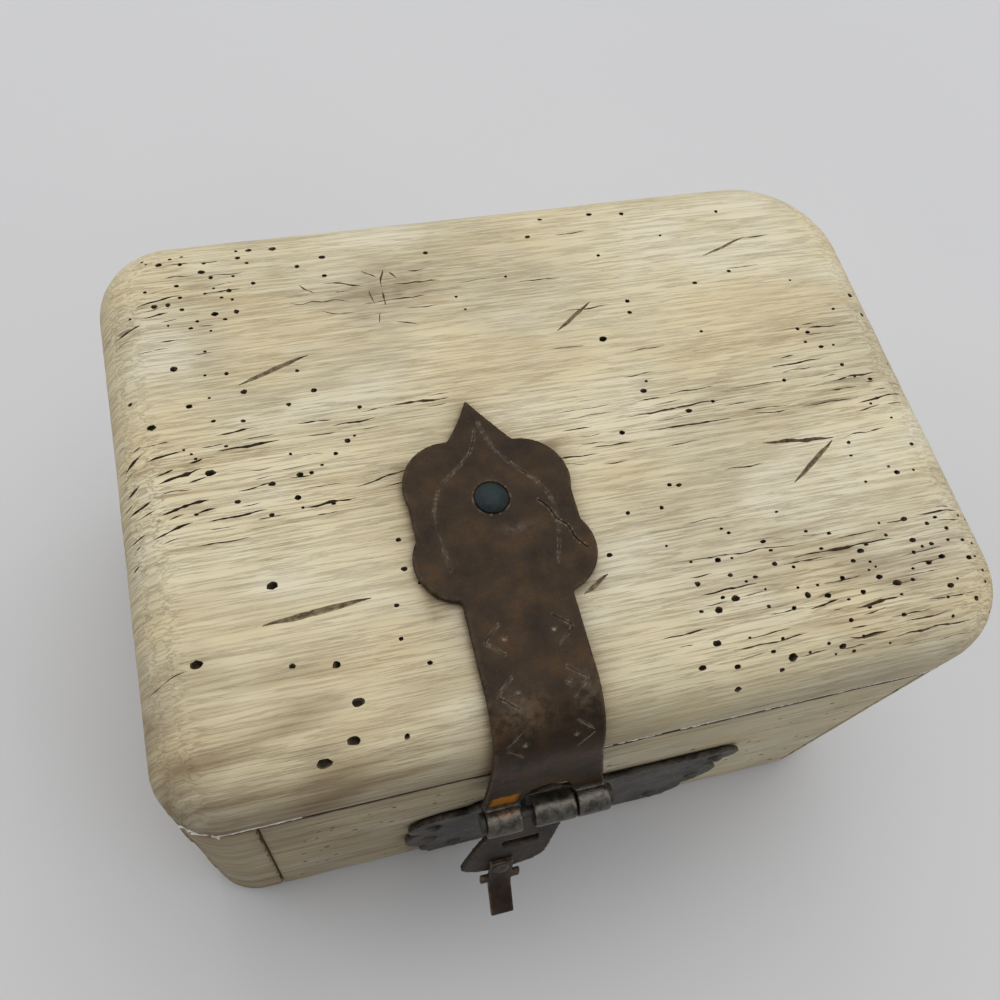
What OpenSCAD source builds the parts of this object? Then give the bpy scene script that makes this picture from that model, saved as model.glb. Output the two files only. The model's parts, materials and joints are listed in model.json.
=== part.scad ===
// Wooden box with a hinged lid and an iron hasp.
// The box stands on z = 0, its front faces -Y and its length runs along X.

/* [Case] */
// Length of the box along its front
box_w = 180; // [165:1:220]
// Depth of the box from front to back
box_d = 130; // [120:1:170]
// Height of the case from its foot to the lid seam
case_h = 91; // [86:1:120]
// Thickness of the left and right boards
side_t = 17; // [14:0.5:20]
// Thickness of the front and back boards
front_t = 15; // [14:0.5:20]
// Thickness of the base board
base_t = 10; // [8:0.5:14]
// Width of the rebate that the base board sits in
rebate_w = 6; // [5:0.5:8]
// Gap round the base board in its rebate
base_gap = 0.2; // [0.1:0.05:0.5]
// Worn rounding along the foot of the case
foot_r = 4; // [2:0.5:6]

/* [Corners] */
// Plan radius of the front left corner
corner_front_left = 12.5; // [12.5:0.5:20]
// Plan radius of the front right corner
corner_front_right = 19; // [12.5:0.5:25]
// Plan radius of the back right corner
corner_back_right = 26; // [12.5:0.5:30]
// Plan radius of the back left corner
corner_back_left = 17; // [12.5:0.5:30]

/* [Lid] */
// Thickness of the lid board
lid_t = 20; // [18:0.5:26]
// Rounding along the lid's top edge
lid_r = 11.5; // [8:0.5:12]
// Gap between the case and the lid at the seam
seam = 0.2; // [0.1:0.05:0.4]

/* [Pegs and nails] */
// Radius of a corner peg
peg_r = 3; // [2:0.25:4]
// Depth of a corner peg in the front or back board
peg_depth = 18; // [12:1:24]
// Height of the lower pegs above the foot
peg_low = 26; // [22:1:34]
// Depth of the upper pegs below the seam
peg_high = 22; // [16:1:30]
// Radius of a nail's shank
nail_r = 0.9; // [0.6:0.05:1.2]
// Radius of a nail's head
nail_head_r = 2.1; // [1.6:0.1:2.6]
// Height of a nail's head
nail_head_h = 1; // [0.6:0.1:1.4]
// Length of a base nail
base_nail_len = 24; // [18:1:32]
// Length of a plate nail's shank
plate_nail_len = 11; // [8:1:13]
// Distance between the base nails along the front and back
base_nail_pitch = 92; // [70:1:110]
// Distance between the base nails along the sides
base_nail_side = 60; // [40:1:76]
// Play of a peg, nail, screw or rivet in its hole
hole_play = 0.05; // [0.02:0.01:0.1]
// Room beyond the end of a peg, nail or staple leg in its blind hole
end_room = 1; // [0.5:0.1:1.5]

/* [Lid hinges] */
// Distance of each hinge from the end of the back board
hinge_inset = 7; // [4:0.5:12]
// Length of a hinge along the back
hinge_len = 32; // [26:1:38]
// Width of a hinge leaf over the board's edge
leaf_w = 12; // [10:0.5:13]
// Thickness of a hinge leaf
leaf_t = 1.4; // [1:0.1:2]
// Outer radius of the hinge barrel
hinge_barrel_r = 3.2; // [2.8:0.1:4]
// Radius of the hinge pin
hinge_pin_r = 1.5; // [1.2:0.05:1.8]
// Gap between the hinge barrel and the boards
hinge_gap = 0.35; // [0.3:0.05:0.8]
// Number of knuckles in a hinge
hinge_knuckles = 5; // [3:2:7]
// Distance between the two screws of a leaf
screw_pitch = 18; // [14:1:22]
// Radius of a hinge screw's shank
screw_r = 1.3; // [1:0.05:1.6]
// Radius of a hinge screw's flat head
screw_head_r = 2.6; // [2.2:0.1:3]
// Length of a hinge screw
screw_len = 12; // [8:1:15]

/* [Hasp strap] */
// Place of the hasp along the front, from the middle
hasp_x = -17; // [-30:1:10]
// Width of the strap
strap_w = 22.2; // [20:0.2:24]
// Thickness of the strap
strap_t = 1.6; // [1.2:0.1:2]
// Gap between the strap and the lid
strap_gap = 0.1; // [0.05:0.05:0.3]
// Angle at which the strap stands off the lid's front
strap_flare = 8; // [6:1:10]
// Depth of the hasp's hinge axis below the seam
axis_drop = 13.4; // [12:0.2:15]

/* [Finial] */
// Distance of the finial's tip from the front of the lid
tip_back = 73.7; // [70:0.5:80]
// Distance of the finial's shoulders from the front of the lid
shoulder_back = 64; // [63:0.5:66]
// Width of the finial at its shoulders
shoulder_w = 13; // [11:0.2:15]
// Shift of the shoulders to the right
shoulder_lean = 0.8; // [0:0.1:1]
// Distance of the upper lobes from the front of the lid
upper_lobe_back = 53.6; // [53:0.1:54.4]
// Half the distance between the upper lobes
upper_lobe_x = 7.4; // [7:0.1:7.8]
// Radius of the upper lobes
upper_lobe_r = 10; // [9.6:0.1:10.4]
// Distance of the lower lobes from the front of the lid
lower_lobe_back = 37.6; // [36.6:0.1:38.4]
// Half the distance between the lower lobes
lower_lobe_x = 9.4; // [9:0.1:10.5]
// Radius of the lower lobes
lower_lobe_r = 9.2; // [8.4:0.1:9.6]
// Distance by which the right lobes lie further forward than the left lobes
lobe_skew = 1.6; // [0:0.2:3]
// Shift of the upper lobes to the right
upper_lobe_lean = 0.1; // [0:0.1:0.4]
// Width of the finial at its waist
waist_w = 33.8; // [32:0.2:34]
// Distance of the strap rivet from the front of the lid
rivet_back = 50; // [46:0.5:52]
// Radius of the strap rivet's head
rivet_head_r = 3.35; // [2.8:0.05:4]
// Height of the strap rivet's head
rivet_head_h = 1.3; // [0.8:0.1:2]
// Radius of the strap rivet's shank
rivet_r = 2; // [1.5:0.1:2.5]
// Radius of the washer under the lid
washer_r = 5; // [4:0.2:6]
// Thickness of the washer under the lid
washer_t = 1; // [0.8:0.1:1.4]

/* [Hasp barrel] */
// Outer radius of the barrel
barrel_r = 3.4; // [3.2:0.1:4]
// Radius of the hasp pin
hasp_pin_r = 1.4; // [1.1:0.05:1.5]
// Radius of the hasp pin's heads
pin_head_r = 2.2; // [1.8:0.1:2.6]
// Thickness of the hasp pin's heads
pin_head_t = 0.8; // [0.5:0.1:1.2]
// Start of the barrel, left of the hasp's middle line
barrel_left = 11.3; // [10:0.1:12]
// Length of the strap's left knuckle
left_knuckle = 7.6; // [6:0.1:8]
// Open gap beside the middle knuckle, where the pin shows
open_gap = 2.6; // [2:0.1:3]
// Length of the tongue's middle knuckle
middle_knuckle = 9.2; // [8:0.1:10]
// Close gap on the middle knuckle's right side
close_gap = 0.3; // [0.2:0.05:0.6]
// Length of the strap's right knuckle
right_knuckle = 7.2; // [6:0.1:8]
// Radius of the arch that is cut in the strap above the middle knuckle
arch_r = 5.2; // [4.8:0.1:5.6]
// Height of the arch's centre above the hasp's axis
arch_rise = 4.6; // [0:0.1:5]
// Radial clearance of a running pin
pin_play = 0.05; // [0.02:0.01:0.1]
// Clearance round the middle knuckle
knuckle_clear = 0.5; // [0.4:0.1:0.8]

/* [Tongue] */
// Thickness of the tongue
tongue_t = 1.6; // [1.2:0.1:2]
// Angle at which the tongue stands out at rest
tongue_tilt = 16; // [15:1:18]
// Length of the tongue from the hasp's axis
tongue_len = 31; // [30:0.5:34]
// Length of the tongue's side corners from the hasp's axis
tongue_corner = 27.4; // [26:0.2:29]
// Reach of the tongue's left corner from the hasp's middle line
tongue_left = 15.2; // [13:0.2:16]
// Reach of the tongue's right corner from the hasp's middle line
tongue_right = 4.8; // [4.4:0.1:7]
// Room between the tongue's slot and the staple over the swing
slot_room = 0.5; // [0.4:0.1:0.8]

/* [Pull tab] */
// Place of the tab, left of the hasp's middle line
tab_x = 5.9; // [5.8:0.1:8]
// Width of the tab
tab_w = 5.6; // [5:0.1:5.8]
// Thickness of the tab
tab_t = 1.2; // [0.8:0.1:1.6]
// Distance of the tab's upper end from the hasp's axis
tab_start = 25; // [24.5:0.1:25.6]
// Distance of the tab's cross bar from the hasp's axis
bar_start = 31.6; // [31:0.2:34]
// Height of the tab's cross bar
bar_h = 3; // [2:0.1:3.4]
// Width of the tab's cross bar
bar_w = 9.6; // [8:0.1:11]
// Angle that the tab's leg is bent outward
tab_bend = 30; // [15:1:40]
// Inner radius of the tab's bend
tab_bend_r = 6; // [4:0.5:10]
// Length of the tab's leg below the bend
tab_leg = 7.5; // [6:0.5:14]
// Distance of the tab's rivet from the hasp's axis
tab_rivet_at = 27.8; // [27.6:0.1:28.2]
// Radius of the tab rivet's shank
tab_rivet_r = 1; // [0.8:0.1:1.3]
// Radius of the tab rivet's head
tab_rivet_head_r = 2; // [1.6:0.1:2.4]
// Height of the tab rivet's head
tab_rivet_head_h = 0.8; // [0.5:0.1:1.2]

/* [Lock plate] */
// Thickness of the lock plate
plate_t = 1.6; // [1.2:0.1:2]
// Place of the plate's middle along the front
plate_x = -1; // [-6:0.5:4]
// Depth of the plate's top edge below the hasp's axis
plate_drop = 18.6; // [18:0.2:22]
// Height of the plate from its bottom edge to its top edge
plate_h = 50; // [44:1:54]
// Width of the plate between its ears
plate_w = 82; // [76:1:90]
// Radius of the plate's left ear
ear_r_left = 9; // [8:0.1:9.5]
// Radius of the plate's right ear
ear_r_right = 4.8; // [4.5:0.1:6]
// Depth of the notch below each ear
notch_in = 7; // [5:0.5:8]
// Radius of the plate's side lobes
side_lobe_r = 14; // [12:0.5:15]
// Depth of the side lobes' centres below the plate's top edge
side_lobe_drop = 25; // [24:0.5:27]
// Radius of the plate's lower lobes
low_lobe_r = 9; // [8:0.5:10]
// Distance of the lower lobes inside the ears
low_lobe_in = 4.5; // [3:0.5:6]
// Radius of the lobe behind the hasp
crown_r = 12.5; // [11:0.5:13]
// Depth of the crown's centre below the plate's top edge
crown_drop = 4.5; // [4:0.5:6]
// Distance of the plate's nails from its outer edge
plate_nail_in = 6; // [5.5:0.1:7]

/* [Staple] */
// Radius of the staple's wire
staple_r = 0.9; // [0.8:0.05:1]
// Depth of the staple below the hasp's axis
staple_drop = 18.1; // [17.6:0.1:18.6]
// Place of the staple, left of the hasp's middle line
staple_x = 1.6; // [1:0.1:2.2]
// Distance between the staple's two legs
staple_pitch = 5.6; // [5:0.1:6]
// Reach of the staple in front of the plate
staple_reach = 5.8; // [5:0.1:5.9]
// Bend radius of the staple's middle line
staple_bend_r = 2.2; // [2:0.1:2.6]
// Depth of the staple's legs in the front board
staple_depth = 12; // [9:0.5:13]

/* [Hidden] */

$fn = 96;
wood = "#d8cdab";
peg_wood = "#b9a377";
brown_iron = "#4b3a30";
grey_iron = "#6a655d";
dark_iron = "#34393c";
rust = "#6b4a35";

// Shared reference planes and cut margin
cut = 1;
front_y = -box_d / 2;
back_y = box_d / 2;
lid_z = case_h + seam;
lid_top = lid_z + lid_t;
inner_w = box_w - 2 * side_t;
inner_d = box_d - 2 * front_t;

// Plan sizes on a fine binary grid, so that pieces that abut share exact faces at any size
grid = 1 / 1024;
function on_grid(v) = round(v / grid) * grid;
half_w = on_grid(box_w / 2);
half_d = on_grid(box_d / 2);
plan_radii = [for (r = [corner_front_left, corner_front_right, corner_back_right, corner_back_left]) on_grid(r)];

// Lid hinge axis
hinge_x = inner_w / 2 - hinge_inset - hinge_len / 2;
hinge_y = back_y + hinge_gap + hinge_barrel_r;
hinge_z = case_h + seam / 2;
knuckle_pitch = hinge_len / hinge_knuckles;
knuckle_gap = 0.2;

// Strap: centre of its bend, end of the bend, and the hasp's axis
bend_y = front_y + lid_r;
bend_z = lid_top - lid_r;
bend_in = lid_r + strap_gap;
bend_mid = bend_in + strap_t / 2;
leg_y = bend_y - bend_mid * cos(strap_flare);
leg_z = bend_z + bend_mid * sin(strap_flare);
tuck = 0.05;
strap_offset = barrel_r - strap_t / 2 - tuck;
axis_z = case_h - axis_drop;
leg_len = (leg_z + strap_offset * sin(strap_flare) - axis_z) / cos(strap_flare);
axis_y = leg_y - leg_len * sin(strap_flare) - strap_offset * cos(strap_flare);

// Barrel stations along X, from the hasp's middle line
left_end = left_knuckle - barrel_left;
middle_start = left_end + open_gap;
middle_end = middle_start + middle_knuckle;
right_start = middle_end + close_gap;
barrel_end = right_start + right_knuckle;
head_gap = 0.1;

// Tongue: its middle plane passes the barrel on the box side
tongue_offset = barrel_r - tongue_t / 2 - tuck;
tongue_face = tongue_offset - tongue_t / 2;
neck_len = barrel_r + 2 * knuckle_clear;
tab_steps = 6;

// Shares that set how far the curved outlines swell
spear_swell = 0.2;
side_swell = 0.62;
foot_swell_left = 0.8;
foot_swell_right = 0.6;

// Clenched end of the strap rivet, as a share of its room under the washer
clench_share = 0.8;

// Lock plate edges
plate_y = front_y - plate_t;
plate_top = axis_z - plate_drop;
plate_bottom = plate_top - plate_h;

// Staple, and the stretch of the tongue that it passes through
staple_z = axis_z - staple_drop;
staple_tip = plate_y - staple_reach;
function swing_reach(y, z) = sqrt((y - axis_y) ^ 2 + (z - axis_z) ^ 2 - tongue_offset ^ 2);
slot_top = swing_reach(staple_tip, staple_z + staple_r) - slot_room;
slot_end = staple_drop + staple_r + slot_room;
slot_half = staple_pitch / 2 + staple_r + slot_room;

// Points of a curve from a to c that bends towards b
function curve(a, b, c, steps = 8) =
    [for (i = [0:steps]) let (t = i / steps) (1 - t) ^ 2 * a + 2 * t * (1 - t) * b + t ^ 2 * c];

// Shapes shared by several pieces

// Corner centres of the plan, in the order of plan_radii
function corner_at(i) = [
    (i == 1 || i == 2 ? 1 : -1) * (half_w - plan_radii[i]),
    (i >= 2 ? 1 : -1) * (half_d - plan_radii[i])
];

// Section of a slab's rounded edge, at its reach from the corner's axis
module edge_section(reach, depth, h, edge_r) {
    translate([reach - depth, 0])
        square([depth, h - edge_r]);
    if (depth > edge_r)
        translate([reach - depth, 0])
            square([depth - edge_r, h]);
    intersection() {
        translate([reach - edge_r, h - edge_r])
            circle(edge_r);
        translate([reach - edge_r, h - edge_r])
            square(edge_r);
    }
}

// Slab with its own plan radius at each corner and a rounding along its top edge
module round_slab(h, edge_r) {
    for (i = [0:3])
        translate(corner_at(i))
            rotate(180 + 90 * i)
                rotate_extrude(angle = 90)
                    edge_section(plan_radii[i], plan_radii[i], h, edge_r);
    edge_bar(corner_at(0), corner_at(1), 0, half_d, h, edge_r);
    edge_bar(corner_at(1), corner_at(2), 90, half_w, h, edge_r);
    edge_bar(corner_at(2), corner_at(3), 180, half_d, h, edge_r);
    edge_bar(corner_at(3), corner_at(0), 270, half_w, h, edge_r);
    linear_extrude(h)
        polygon([for (i = [0:3]) each core_corner(i, edge_r)]);
}

// Three points where the core steps round a corner piece
function core_corner(i, edge_r) =
    let (
        c = corner_at(i),
        s = plan_radii[i] - edge_r,
        along_x = [c[0] + (i == 1 || i == 2 ? s : -s), c[1]],
        along_y = [c[0], c[1] + (i >= 2 ? s : -s)]
    )
    i % 2 == 0 ? [along_x, c, along_y] : [along_y, c, along_x];

// Straight stretch of rounded edge between two corner centres
module edge_bar(a, b, turn, reach, h, edge_r) {
    start = turn == 0 ? a[0] : turn == 90 ? a[1] : turn == 180 ? -a[0] : -a[1];
    end = turn == 0 ? b[0] : turn == 90 ? b[1] : turn == 180 ? -b[0] : -b[1];
    rotate(turn)
        translate([start, 0, 0])
            rotate([90, 0, 90])
                linear_extrude(end - start)
                    mirror([1, 0])
                        edge_section(reach, edge_r, h, edge_r);
}

// Outside of the whole case, rounded along its foot
module case_block() {
    translate([0, 0, case_h])
        mirror([0, 0, 1])
            round_slab(case_h, on_grid(foot_r));
}

// Block from one corner to the opposite corner
module block(low, high) {
    translate(low)
        cube(high - low);
}

// Shape in the Y-Z plane, extruded along X
module along_x(from, to) {
    translate([from, 0, 0])
        rotate([90, 0, 90])
            linear_extrude(to - from)
                children();
}

// Round bar along X
module bar_x(from, to, r) {
    translate([from, 0, 0])
        rotate([0, 90, 0])
            cylinder(h = to - from, r = r);
}

// Round bar along Y, from the front towards the back
module bar_y(from, to, r) {
    translate([0, from, 0])
        rotate([-90, 0, 0])
            cylinder(h = to - from, r = r);
}

// Low domed head that stands on z = 0
module dome(r, h) {
    ball_r = (r * r + h * h) / (2 * h);
    intersection() {
        translate([0, 0, h - ball_r])
            sphere(ball_r);
        cylinder(h = h + cut, r = r);
    }
}

// Places of the corner pegs on the inner faces of the end boards, with x pointing out of the box
module at_pegs() {
    for (side = [0, 1], end = [-1, 1], z = [peg_low, case_h - peg_high])
        mirror([side, 0, 0])
            translate([inner_w / 2, end * (box_d - front_t) / 2, z])
                children();
}

module peg_holes() {
    at_pegs()
        bar_x(-peg_depth - end_room, side_t + cut, peg_r + hole_play);
}

// Places of the nails that come up through the base board
module at_base_nails() {
    side_x = inner_w / 2 + rebate_w / 2;
    end_y = inner_d / 2 + rebate_w / 2;
    for (x = [-1, 1], y = [-1, 1]) {
        translate([x * base_nail_pitch / 2, y * end_y, 0])
            children();
        translate([x * side_x, y * base_nail_side / 2, 0])
            children();
    }
}

// A base nail's head lies in the base board, just above the foot
nail_sink = 0.4;

module base_nail_holes() {
    at_base_nails() {
        translate([0, 0, -cut])
            cylinder(h = cut + nail_sink + nail_head_h, r = nail_head_r + hole_play);
        cylinder(h = base_nail_len + end_room, r = nail_r + hole_play);
    }
}

// Room for the base board in the four boards
module rebate() {
    block(
        [-inner_w / 2 - rebate_w, -inner_d / 2 - rebate_w, -cut],
        [inner_w / 2 + rebate_w, inner_d / 2 + rebate_w, base_t]
    );
}

// Places of the plate's nails on the plate's front face
module at_plate_nails() {
    ear_x = plate_w / 2 - plate_nail_in;
    low_x = plate_w / 2 - low_lobe_in - low_lobe_r;
    translate([plate_x - ear_x, plate_y, plate_top - ear_r_left])
        children();
    translate([plate_x + ear_x, plate_y, plate_top - ear_r_right])
        children();
    for (side = [-1, 1]) {
        translate([plate_x + side * ear_x, plate_y, plate_top - side_lobe_drop])
            children();
        translate([plate_x + side * low_x, plate_y, plate_bottom + low_lobe_r])
            children();
    }
}

module plate_nail_holes() {
    at_plate_nails()
        bar_y(-cut, plate_nail_len + end_room, nail_r + hole_play);
}

// Line of the staple's wire, level, with its two bends
module staple_wire(r) {
    tip = staple_tip + staple_r;
    side = staple_pitch / 2 - staple_bend_r;
    translate([hasp_x - staple_x, 0, staple_z]) {
        for (x = [-1, 1])
            translate([x * staple_pitch / 2, 0, 0])
                bar_y(tip + staple_bend_r, front_y + staple_depth, r);
        translate([-side, tip + staple_bend_r, 0])
            wire_bend(180, r);
        translate([side, tip + staple_bend_r, 0])
            wire_bend(270, r);
        translate([0, tip, 0])
            bar_x(-side, side, r);
    }
}

// Quarter bend of the wire in the X-Y plane
module wire_bend(turn, r) {
    rotate(turn)
        rotate_extrude(angle = 90)
            translate([staple_bend_r, 0])
                circle(r);
}

module staple_holes() {
    translate([hasp_x - staple_x, 0, staple_z])
        for (x = [-1, 1])
            translate([x * staple_pitch / 2, 0, 0])
                bar_y(plate_y - cut, front_y + staple_depth + end_room, staple_r + hole_play);
}

// Places of the two hinges, on the hinge axis
module at_hinge(side) {
    translate([side * hinge_x, hinge_y, hinge_z])
        children();
}

// Bed for one leaf in the edge of a board, up to the board's back face
module leaf_bed(side, low, high) {
    block(
        [side * hinge_x - hinge_len / 2 - base_gap, back_y - leaf_w - base_gap, low],
        [side * hinge_x + hinge_len / 2 + base_gap, back_y + cut, high]
    );
}

// Places of the screws in one leaf, at the level of the seam
module at_screws(side) {
    for (x = [-1, 1])
        translate([side * hinge_x + x * screw_pitch / 2, back_y - leaf_w / 2, 0])
            children();
}

// Flat-headed screw with its head's face on z = 0, pointing down
module screw(play) {
    translate([0, 0, -screw_len])
        cylinder(h = screw_len, r = screw_r + play);
    translate([0, 0, -leaf_t])
        cylinder(h = leaf_t, r1 = screw_r + play, r2 = screw_head_r + play);
}

// One leaf with its own knuckles: odd and even knuckles take turns
module hinge_leaf(side, upper) {
    low = upper ? lid_z : case_h - leaf_t;
    x0 = side * hinge_x - hinge_len / 2;
    difference() {
        union() {
            block([x0, back_y - leaf_w, low], [x0 + hinge_len, back_y, low + leaf_t]);
            for (k = [upper ? 1 : 0:2:hinge_knuckles - 1]) {
                from = x0 + k * knuckle_pitch + knuckle_gap / 2;
                to = x0 + (k + 1) * knuckle_pitch - knuckle_gap / 2;
                translate([0, hinge_y, hinge_z])
                    bar_x(from, to, hinge_barrel_r);
                block([from, back_y - cut, low], [to, hinge_y - hinge_pin_r - 2 * knuckle_gap, low + leaf_t]);
            }
        }
        translate([0, hinge_y, hinge_z])
            bar_x(x0 - cut, x0 + hinge_len + cut, hinge_pin_r + pin_play);
        at_screws(side)
            translate([0, 0, upper ? lid_z : case_h])
                mirror([0, 0, upper ? 1 : 0])
                    screw(hole_play);
    }
}

module hinge_pin(side) {
    at_hinge(side) {
        bar_x(-hinge_len / 2, hinge_len / 2, hinge_pin_r);
        for (x = [-1, 1])
            translate([x * hinge_len / 2, 0, 0])
                rotate([0, 90 * x, 0])
                    dome(hinge_pin_r + pin_play + knuckle_gap, hinge_pin_r / 2);
    }
}

// Edge of the finial's spear from its tip to the right (1) or left (-1) shoulder
function spear_side(x) = curve([0, tip_back],
    [x * shoulder_w * spear_swell + shoulder_lean / 2, (shoulder_back + tip_back) / 2],
    [x * shoulder_w / 2 + shoulder_lean, shoulder_back - x * lobe_skew / 2]);

// Finial and strap seen from above, with y = 0 at the front of the lid
module strap_outline() {
    right = spear_side(1);
    left = spear_side(-1);
    foot = [[shoulder_w / 2 + shoulder_lean, rivet_back], [shoulder_lean - shoulder_w / 2, rivet_back]];
    polygon(concat(right, foot, [for (i = [len(left) - 1:-1:1]) left[i]]));
    for (x = [-1, 1]) {
        translate([x * upper_lobe_x + upper_lobe_lean, upper_lobe_back - x * lobe_skew / 2])
            circle(upper_lobe_r);
        translate([x * lower_lobe_x, lower_lobe_back - x * lobe_skew / 2])
            circle(lower_lobe_r);
    }
    translate([-waist_w / 2, lower_lobe_back])
        square([waist_w, upper_lobe_back - lower_lobe_back]);
    translate([-strap_w / 2, lid_r])
        square([strap_w, lower_lobe_back - lid_r]);
}

// Bend of the strap over the lid's edge, in Y-Z
module strap_bend() {
    far = 2 * bend_in + 2 * strap_t;
    translate([bend_y, bend_z])
        intersection() {
            difference() {
                circle(bend_in + strap_t);
                circle(bend_in);
            }
            polygon([[0, 0], [0, far], [-far, far], [-far, far * tan(strap_flare)]]);
        }
}

// Leg of the strap down to the hasp's axis, which widens to the barrel's length
module strap_leg() {
    translate([hasp_x, leg_y, leg_z])
        rotate([-strap_flare, 0, 0])
            translate([0, strap_t / 2, 0])
                rotate([90, 0, 0])
                    linear_extrude(strap_t)
                        polygon([
                            [-strap_w / 2, 0],
                            [strap_w / 2, 0],
                            [barrel_end, -leg_len],
                            [-barrel_left, -leg_len]
                        ]);
}

// Everything on the tongue hangs straight down from the hasp's axis, then swings out
module on_tongue() {
    translate([hasp_x, axis_y, axis_z])
        rotate([-tongue_tilt, 0, 0])
            children();
}

// Outline of the tongue: x across, y downwards from the hasp's axis
module tongue_outline() {
    neck_left = [middle_start, neck_len];
    neck_right = [middle_end, neck_len];
    corner_left = [-tongue_left, tongue_corner];
    corner_right = [tongue_right, tongue_corner];
    bottom = [(tongue_right - tongue_left) / 2, tongue_len];
    polygon(concat(
        [[middle_start, 0]],
        curve(neck_left, [-tongue_left * side_swell, neck_len + barrel_r], corner_left),
        curve(corner_left, [-tongue_left * foot_swell_left, tongue_len], bottom, 4),
        curve(bottom, [tongue_right * foot_swell_right, tongue_len], corner_right, 4),
        curve(corner_right, [middle_end, tongue_corner / 2], neck_right),
        [[middle_end, 0]]
    ));
}

// Points of the tab's bend at radius r, about a centre outside the tongue's face
function tab_arc(r, low) =
    [for (i = [0:tab_steps]) let (a = tab_bend * i / tab_steps)
        [tab_t + tab_bend_r - r * cos(a), -low - r * sin(a)]];

// Pull tab from the side: x outwards from the tongue's face, y upwards
module tab_side(low) {
    leg = tab_leg * [sin(tab_bend), -cos(tab_bend)];
    outer = tab_arc(tab_bend_r, low);
    inner = tab_arc(tab_bend_r + tab_t, low);
    polygon(concat(
        [[tab_t, -tab_start]],
        outer,
        [outer[tab_steps] + leg, inner[tab_steps] + leg],
        [for (i = [tab_steps:-1:0]) inner[i]],
        [[0, -tab_start]]
    ));
}

// Outline of the lock plate: x across, y upwards
module plate_outline() {
    half = plate_w / 2;
    body = half - notch_in;
    translate([-body, plate_bottom])
        square([2 * body, plate_h]);
    translate([ear_r_left - half, plate_top - ear_r_left])
        circle(ear_r_left);
    translate([half - ear_r_right, plate_top - ear_r_right])
        circle(ear_r_right);
    for (side = [-1, 1]) {
        translate([side * (half - side_lobe_r), plate_top - side_lobe_drop])
            circle(side_lobe_r);
        translate([side * (half - low_lobe_in - low_lobe_r), plate_bottom + low_lobe_r])
            circle(low_lobe_r);
    }
    translate([hasp_x - plate_x, plate_top - crown_drop])
        circle(crown_r);
}

// Wooden boards

module front_board() {
    color(wood)
        difference() {
            intersection() {
                case_block();
                block([-inner_w / 2, front_y - cut, -cut], [inner_w / 2, front_y + front_t, case_h + cut]);
            }
            rebate();
            peg_holes();
            base_nail_holes();
            plate_nail_holes();
            staple_holes();
        }
}

module back_board() {
    color(wood)
        difference() {
            intersection() {
                case_block();
                block([-inner_w / 2, back_y - front_t, -cut], [inner_w / 2, back_y + cut, case_h + cut]);
            }
            rebate();
            peg_holes();
            base_nail_holes();
            for (side = [-1, 1]) {
                leaf_bed(side, case_h - leaf_t, case_h + cut);
                at_screws(side)
                    translate([0, 0, case_h])
                        screw(hole_play);
            }
        }
}

module end_board(side) {
    inside = side * inner_w / 2;
    outside = side * (box_w / 2 + cut);
    color(wood)
        difference() {
            intersection() {
                case_block();
                block(
                    [min(inside, outside), front_y - cut, -cut],
                    [max(inside, outside), back_y + cut, case_h + cut]
                );
            }
            rebate();
            peg_holes();
            base_nail_holes();
        }
}

module left_board() {
    end_board(-1);
}

module right_board() {
    end_board(1);
}

module base_board() {
    half_w = inner_w / 2 + rebate_w - base_gap;
    half_d = inner_d / 2 + rebate_w - base_gap;
    color(wood)
        difference() {
            block([-half_w, -half_d, 0], [half_w, half_d, base_t]);
            base_nail_holes();
        }
}

module lid_board() {
    color(wood)
        difference() {
            translate([0, 0, lid_z])
                round_slab(lid_t, on_grid(lid_r));
            translate([hasp_x, front_y + rivet_back, 0]) {
                translate([0, 0, lid_z - cut])
                    cylinder(h = lid_t + 2 * cut, r = rivet_r + hole_play);
                translate([0, 0, lid_z - cut])
                    cylinder(h = cut + 2 * washer_t, r = washer_r + hole_play);
            }
            for (side = [-1, 1]) {
                leaf_bed(side, lid_z - cut, lid_z + leaf_t);
                at_screws(side)
                    translate([0, 0, lid_z])
                        mirror([0, 0, 1])
                            screw(hole_play);
            }
        }
}

module corner_pegs() {
    color(peg_wood)
        intersection() {
            case_block();
            at_pegs()
                bar_x(-peg_depth, side_t + cut, peg_r);
        }
}

// Nails, screws and rivets

module base_nails() {
    color(dark_iron)
        at_base_nails()
            translate([0, 0, nail_sink]) {
                cylinder(h = nail_head_h, r = nail_head_r);
                cylinder(h = base_nail_len - nail_sink, r = nail_r);
            }
}

module plate_nails() {
    color(dark_iron)
        at_plate_nails() {
            bar_y(0, plate_nail_len, nail_r);
            rotate([90, 0, 0])
                dome(nail_head_r, nail_head_h);
        }
}

module hinge_screws_lower() {
    color(grey_iron)
        for (side = [-1, 1])
            at_screws(side)
                translate([0, 0, case_h])
                    screw(0);
}

module hinge_screws_upper() {
    color(grey_iron)
        for (side = [-1, 1])
            at_screws(side)
                translate([0, 0, lid_z])
                    mirror([0, 0, 1])
                        screw(0);
}

module strap_rivet() {
    strap_top = lid_top + strap_gap + strap_t;
    color(dark_iron)
        translate([hasp_x, front_y + rivet_back, 0]) {
            translate([0, 0, strap_top])
                dome(rivet_head_r, rivet_head_h);
            translate([0, 0, lid_z + washer_t])
                cylinder(h = strap_top - lid_z - washer_t, r = rivet_r);
            translate([0, 0, lid_z + washer_t])
                mirror([0, 0, 1])
                    dome(rivet_r + washer_t / 2, washer_t * clench_share);
        }
}

module rivet_washer() {
    color(dark_iron)
        translate([hasp_x, front_y + rivet_back, lid_z + washer_t])
            difference() {
                cylinder(h = washer_t, r = washer_r);
                translate([0, 0, -cut])
                    cylinder(h = washer_t + 2 * cut, r = rivet_r + hole_play);
            }
}

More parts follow.
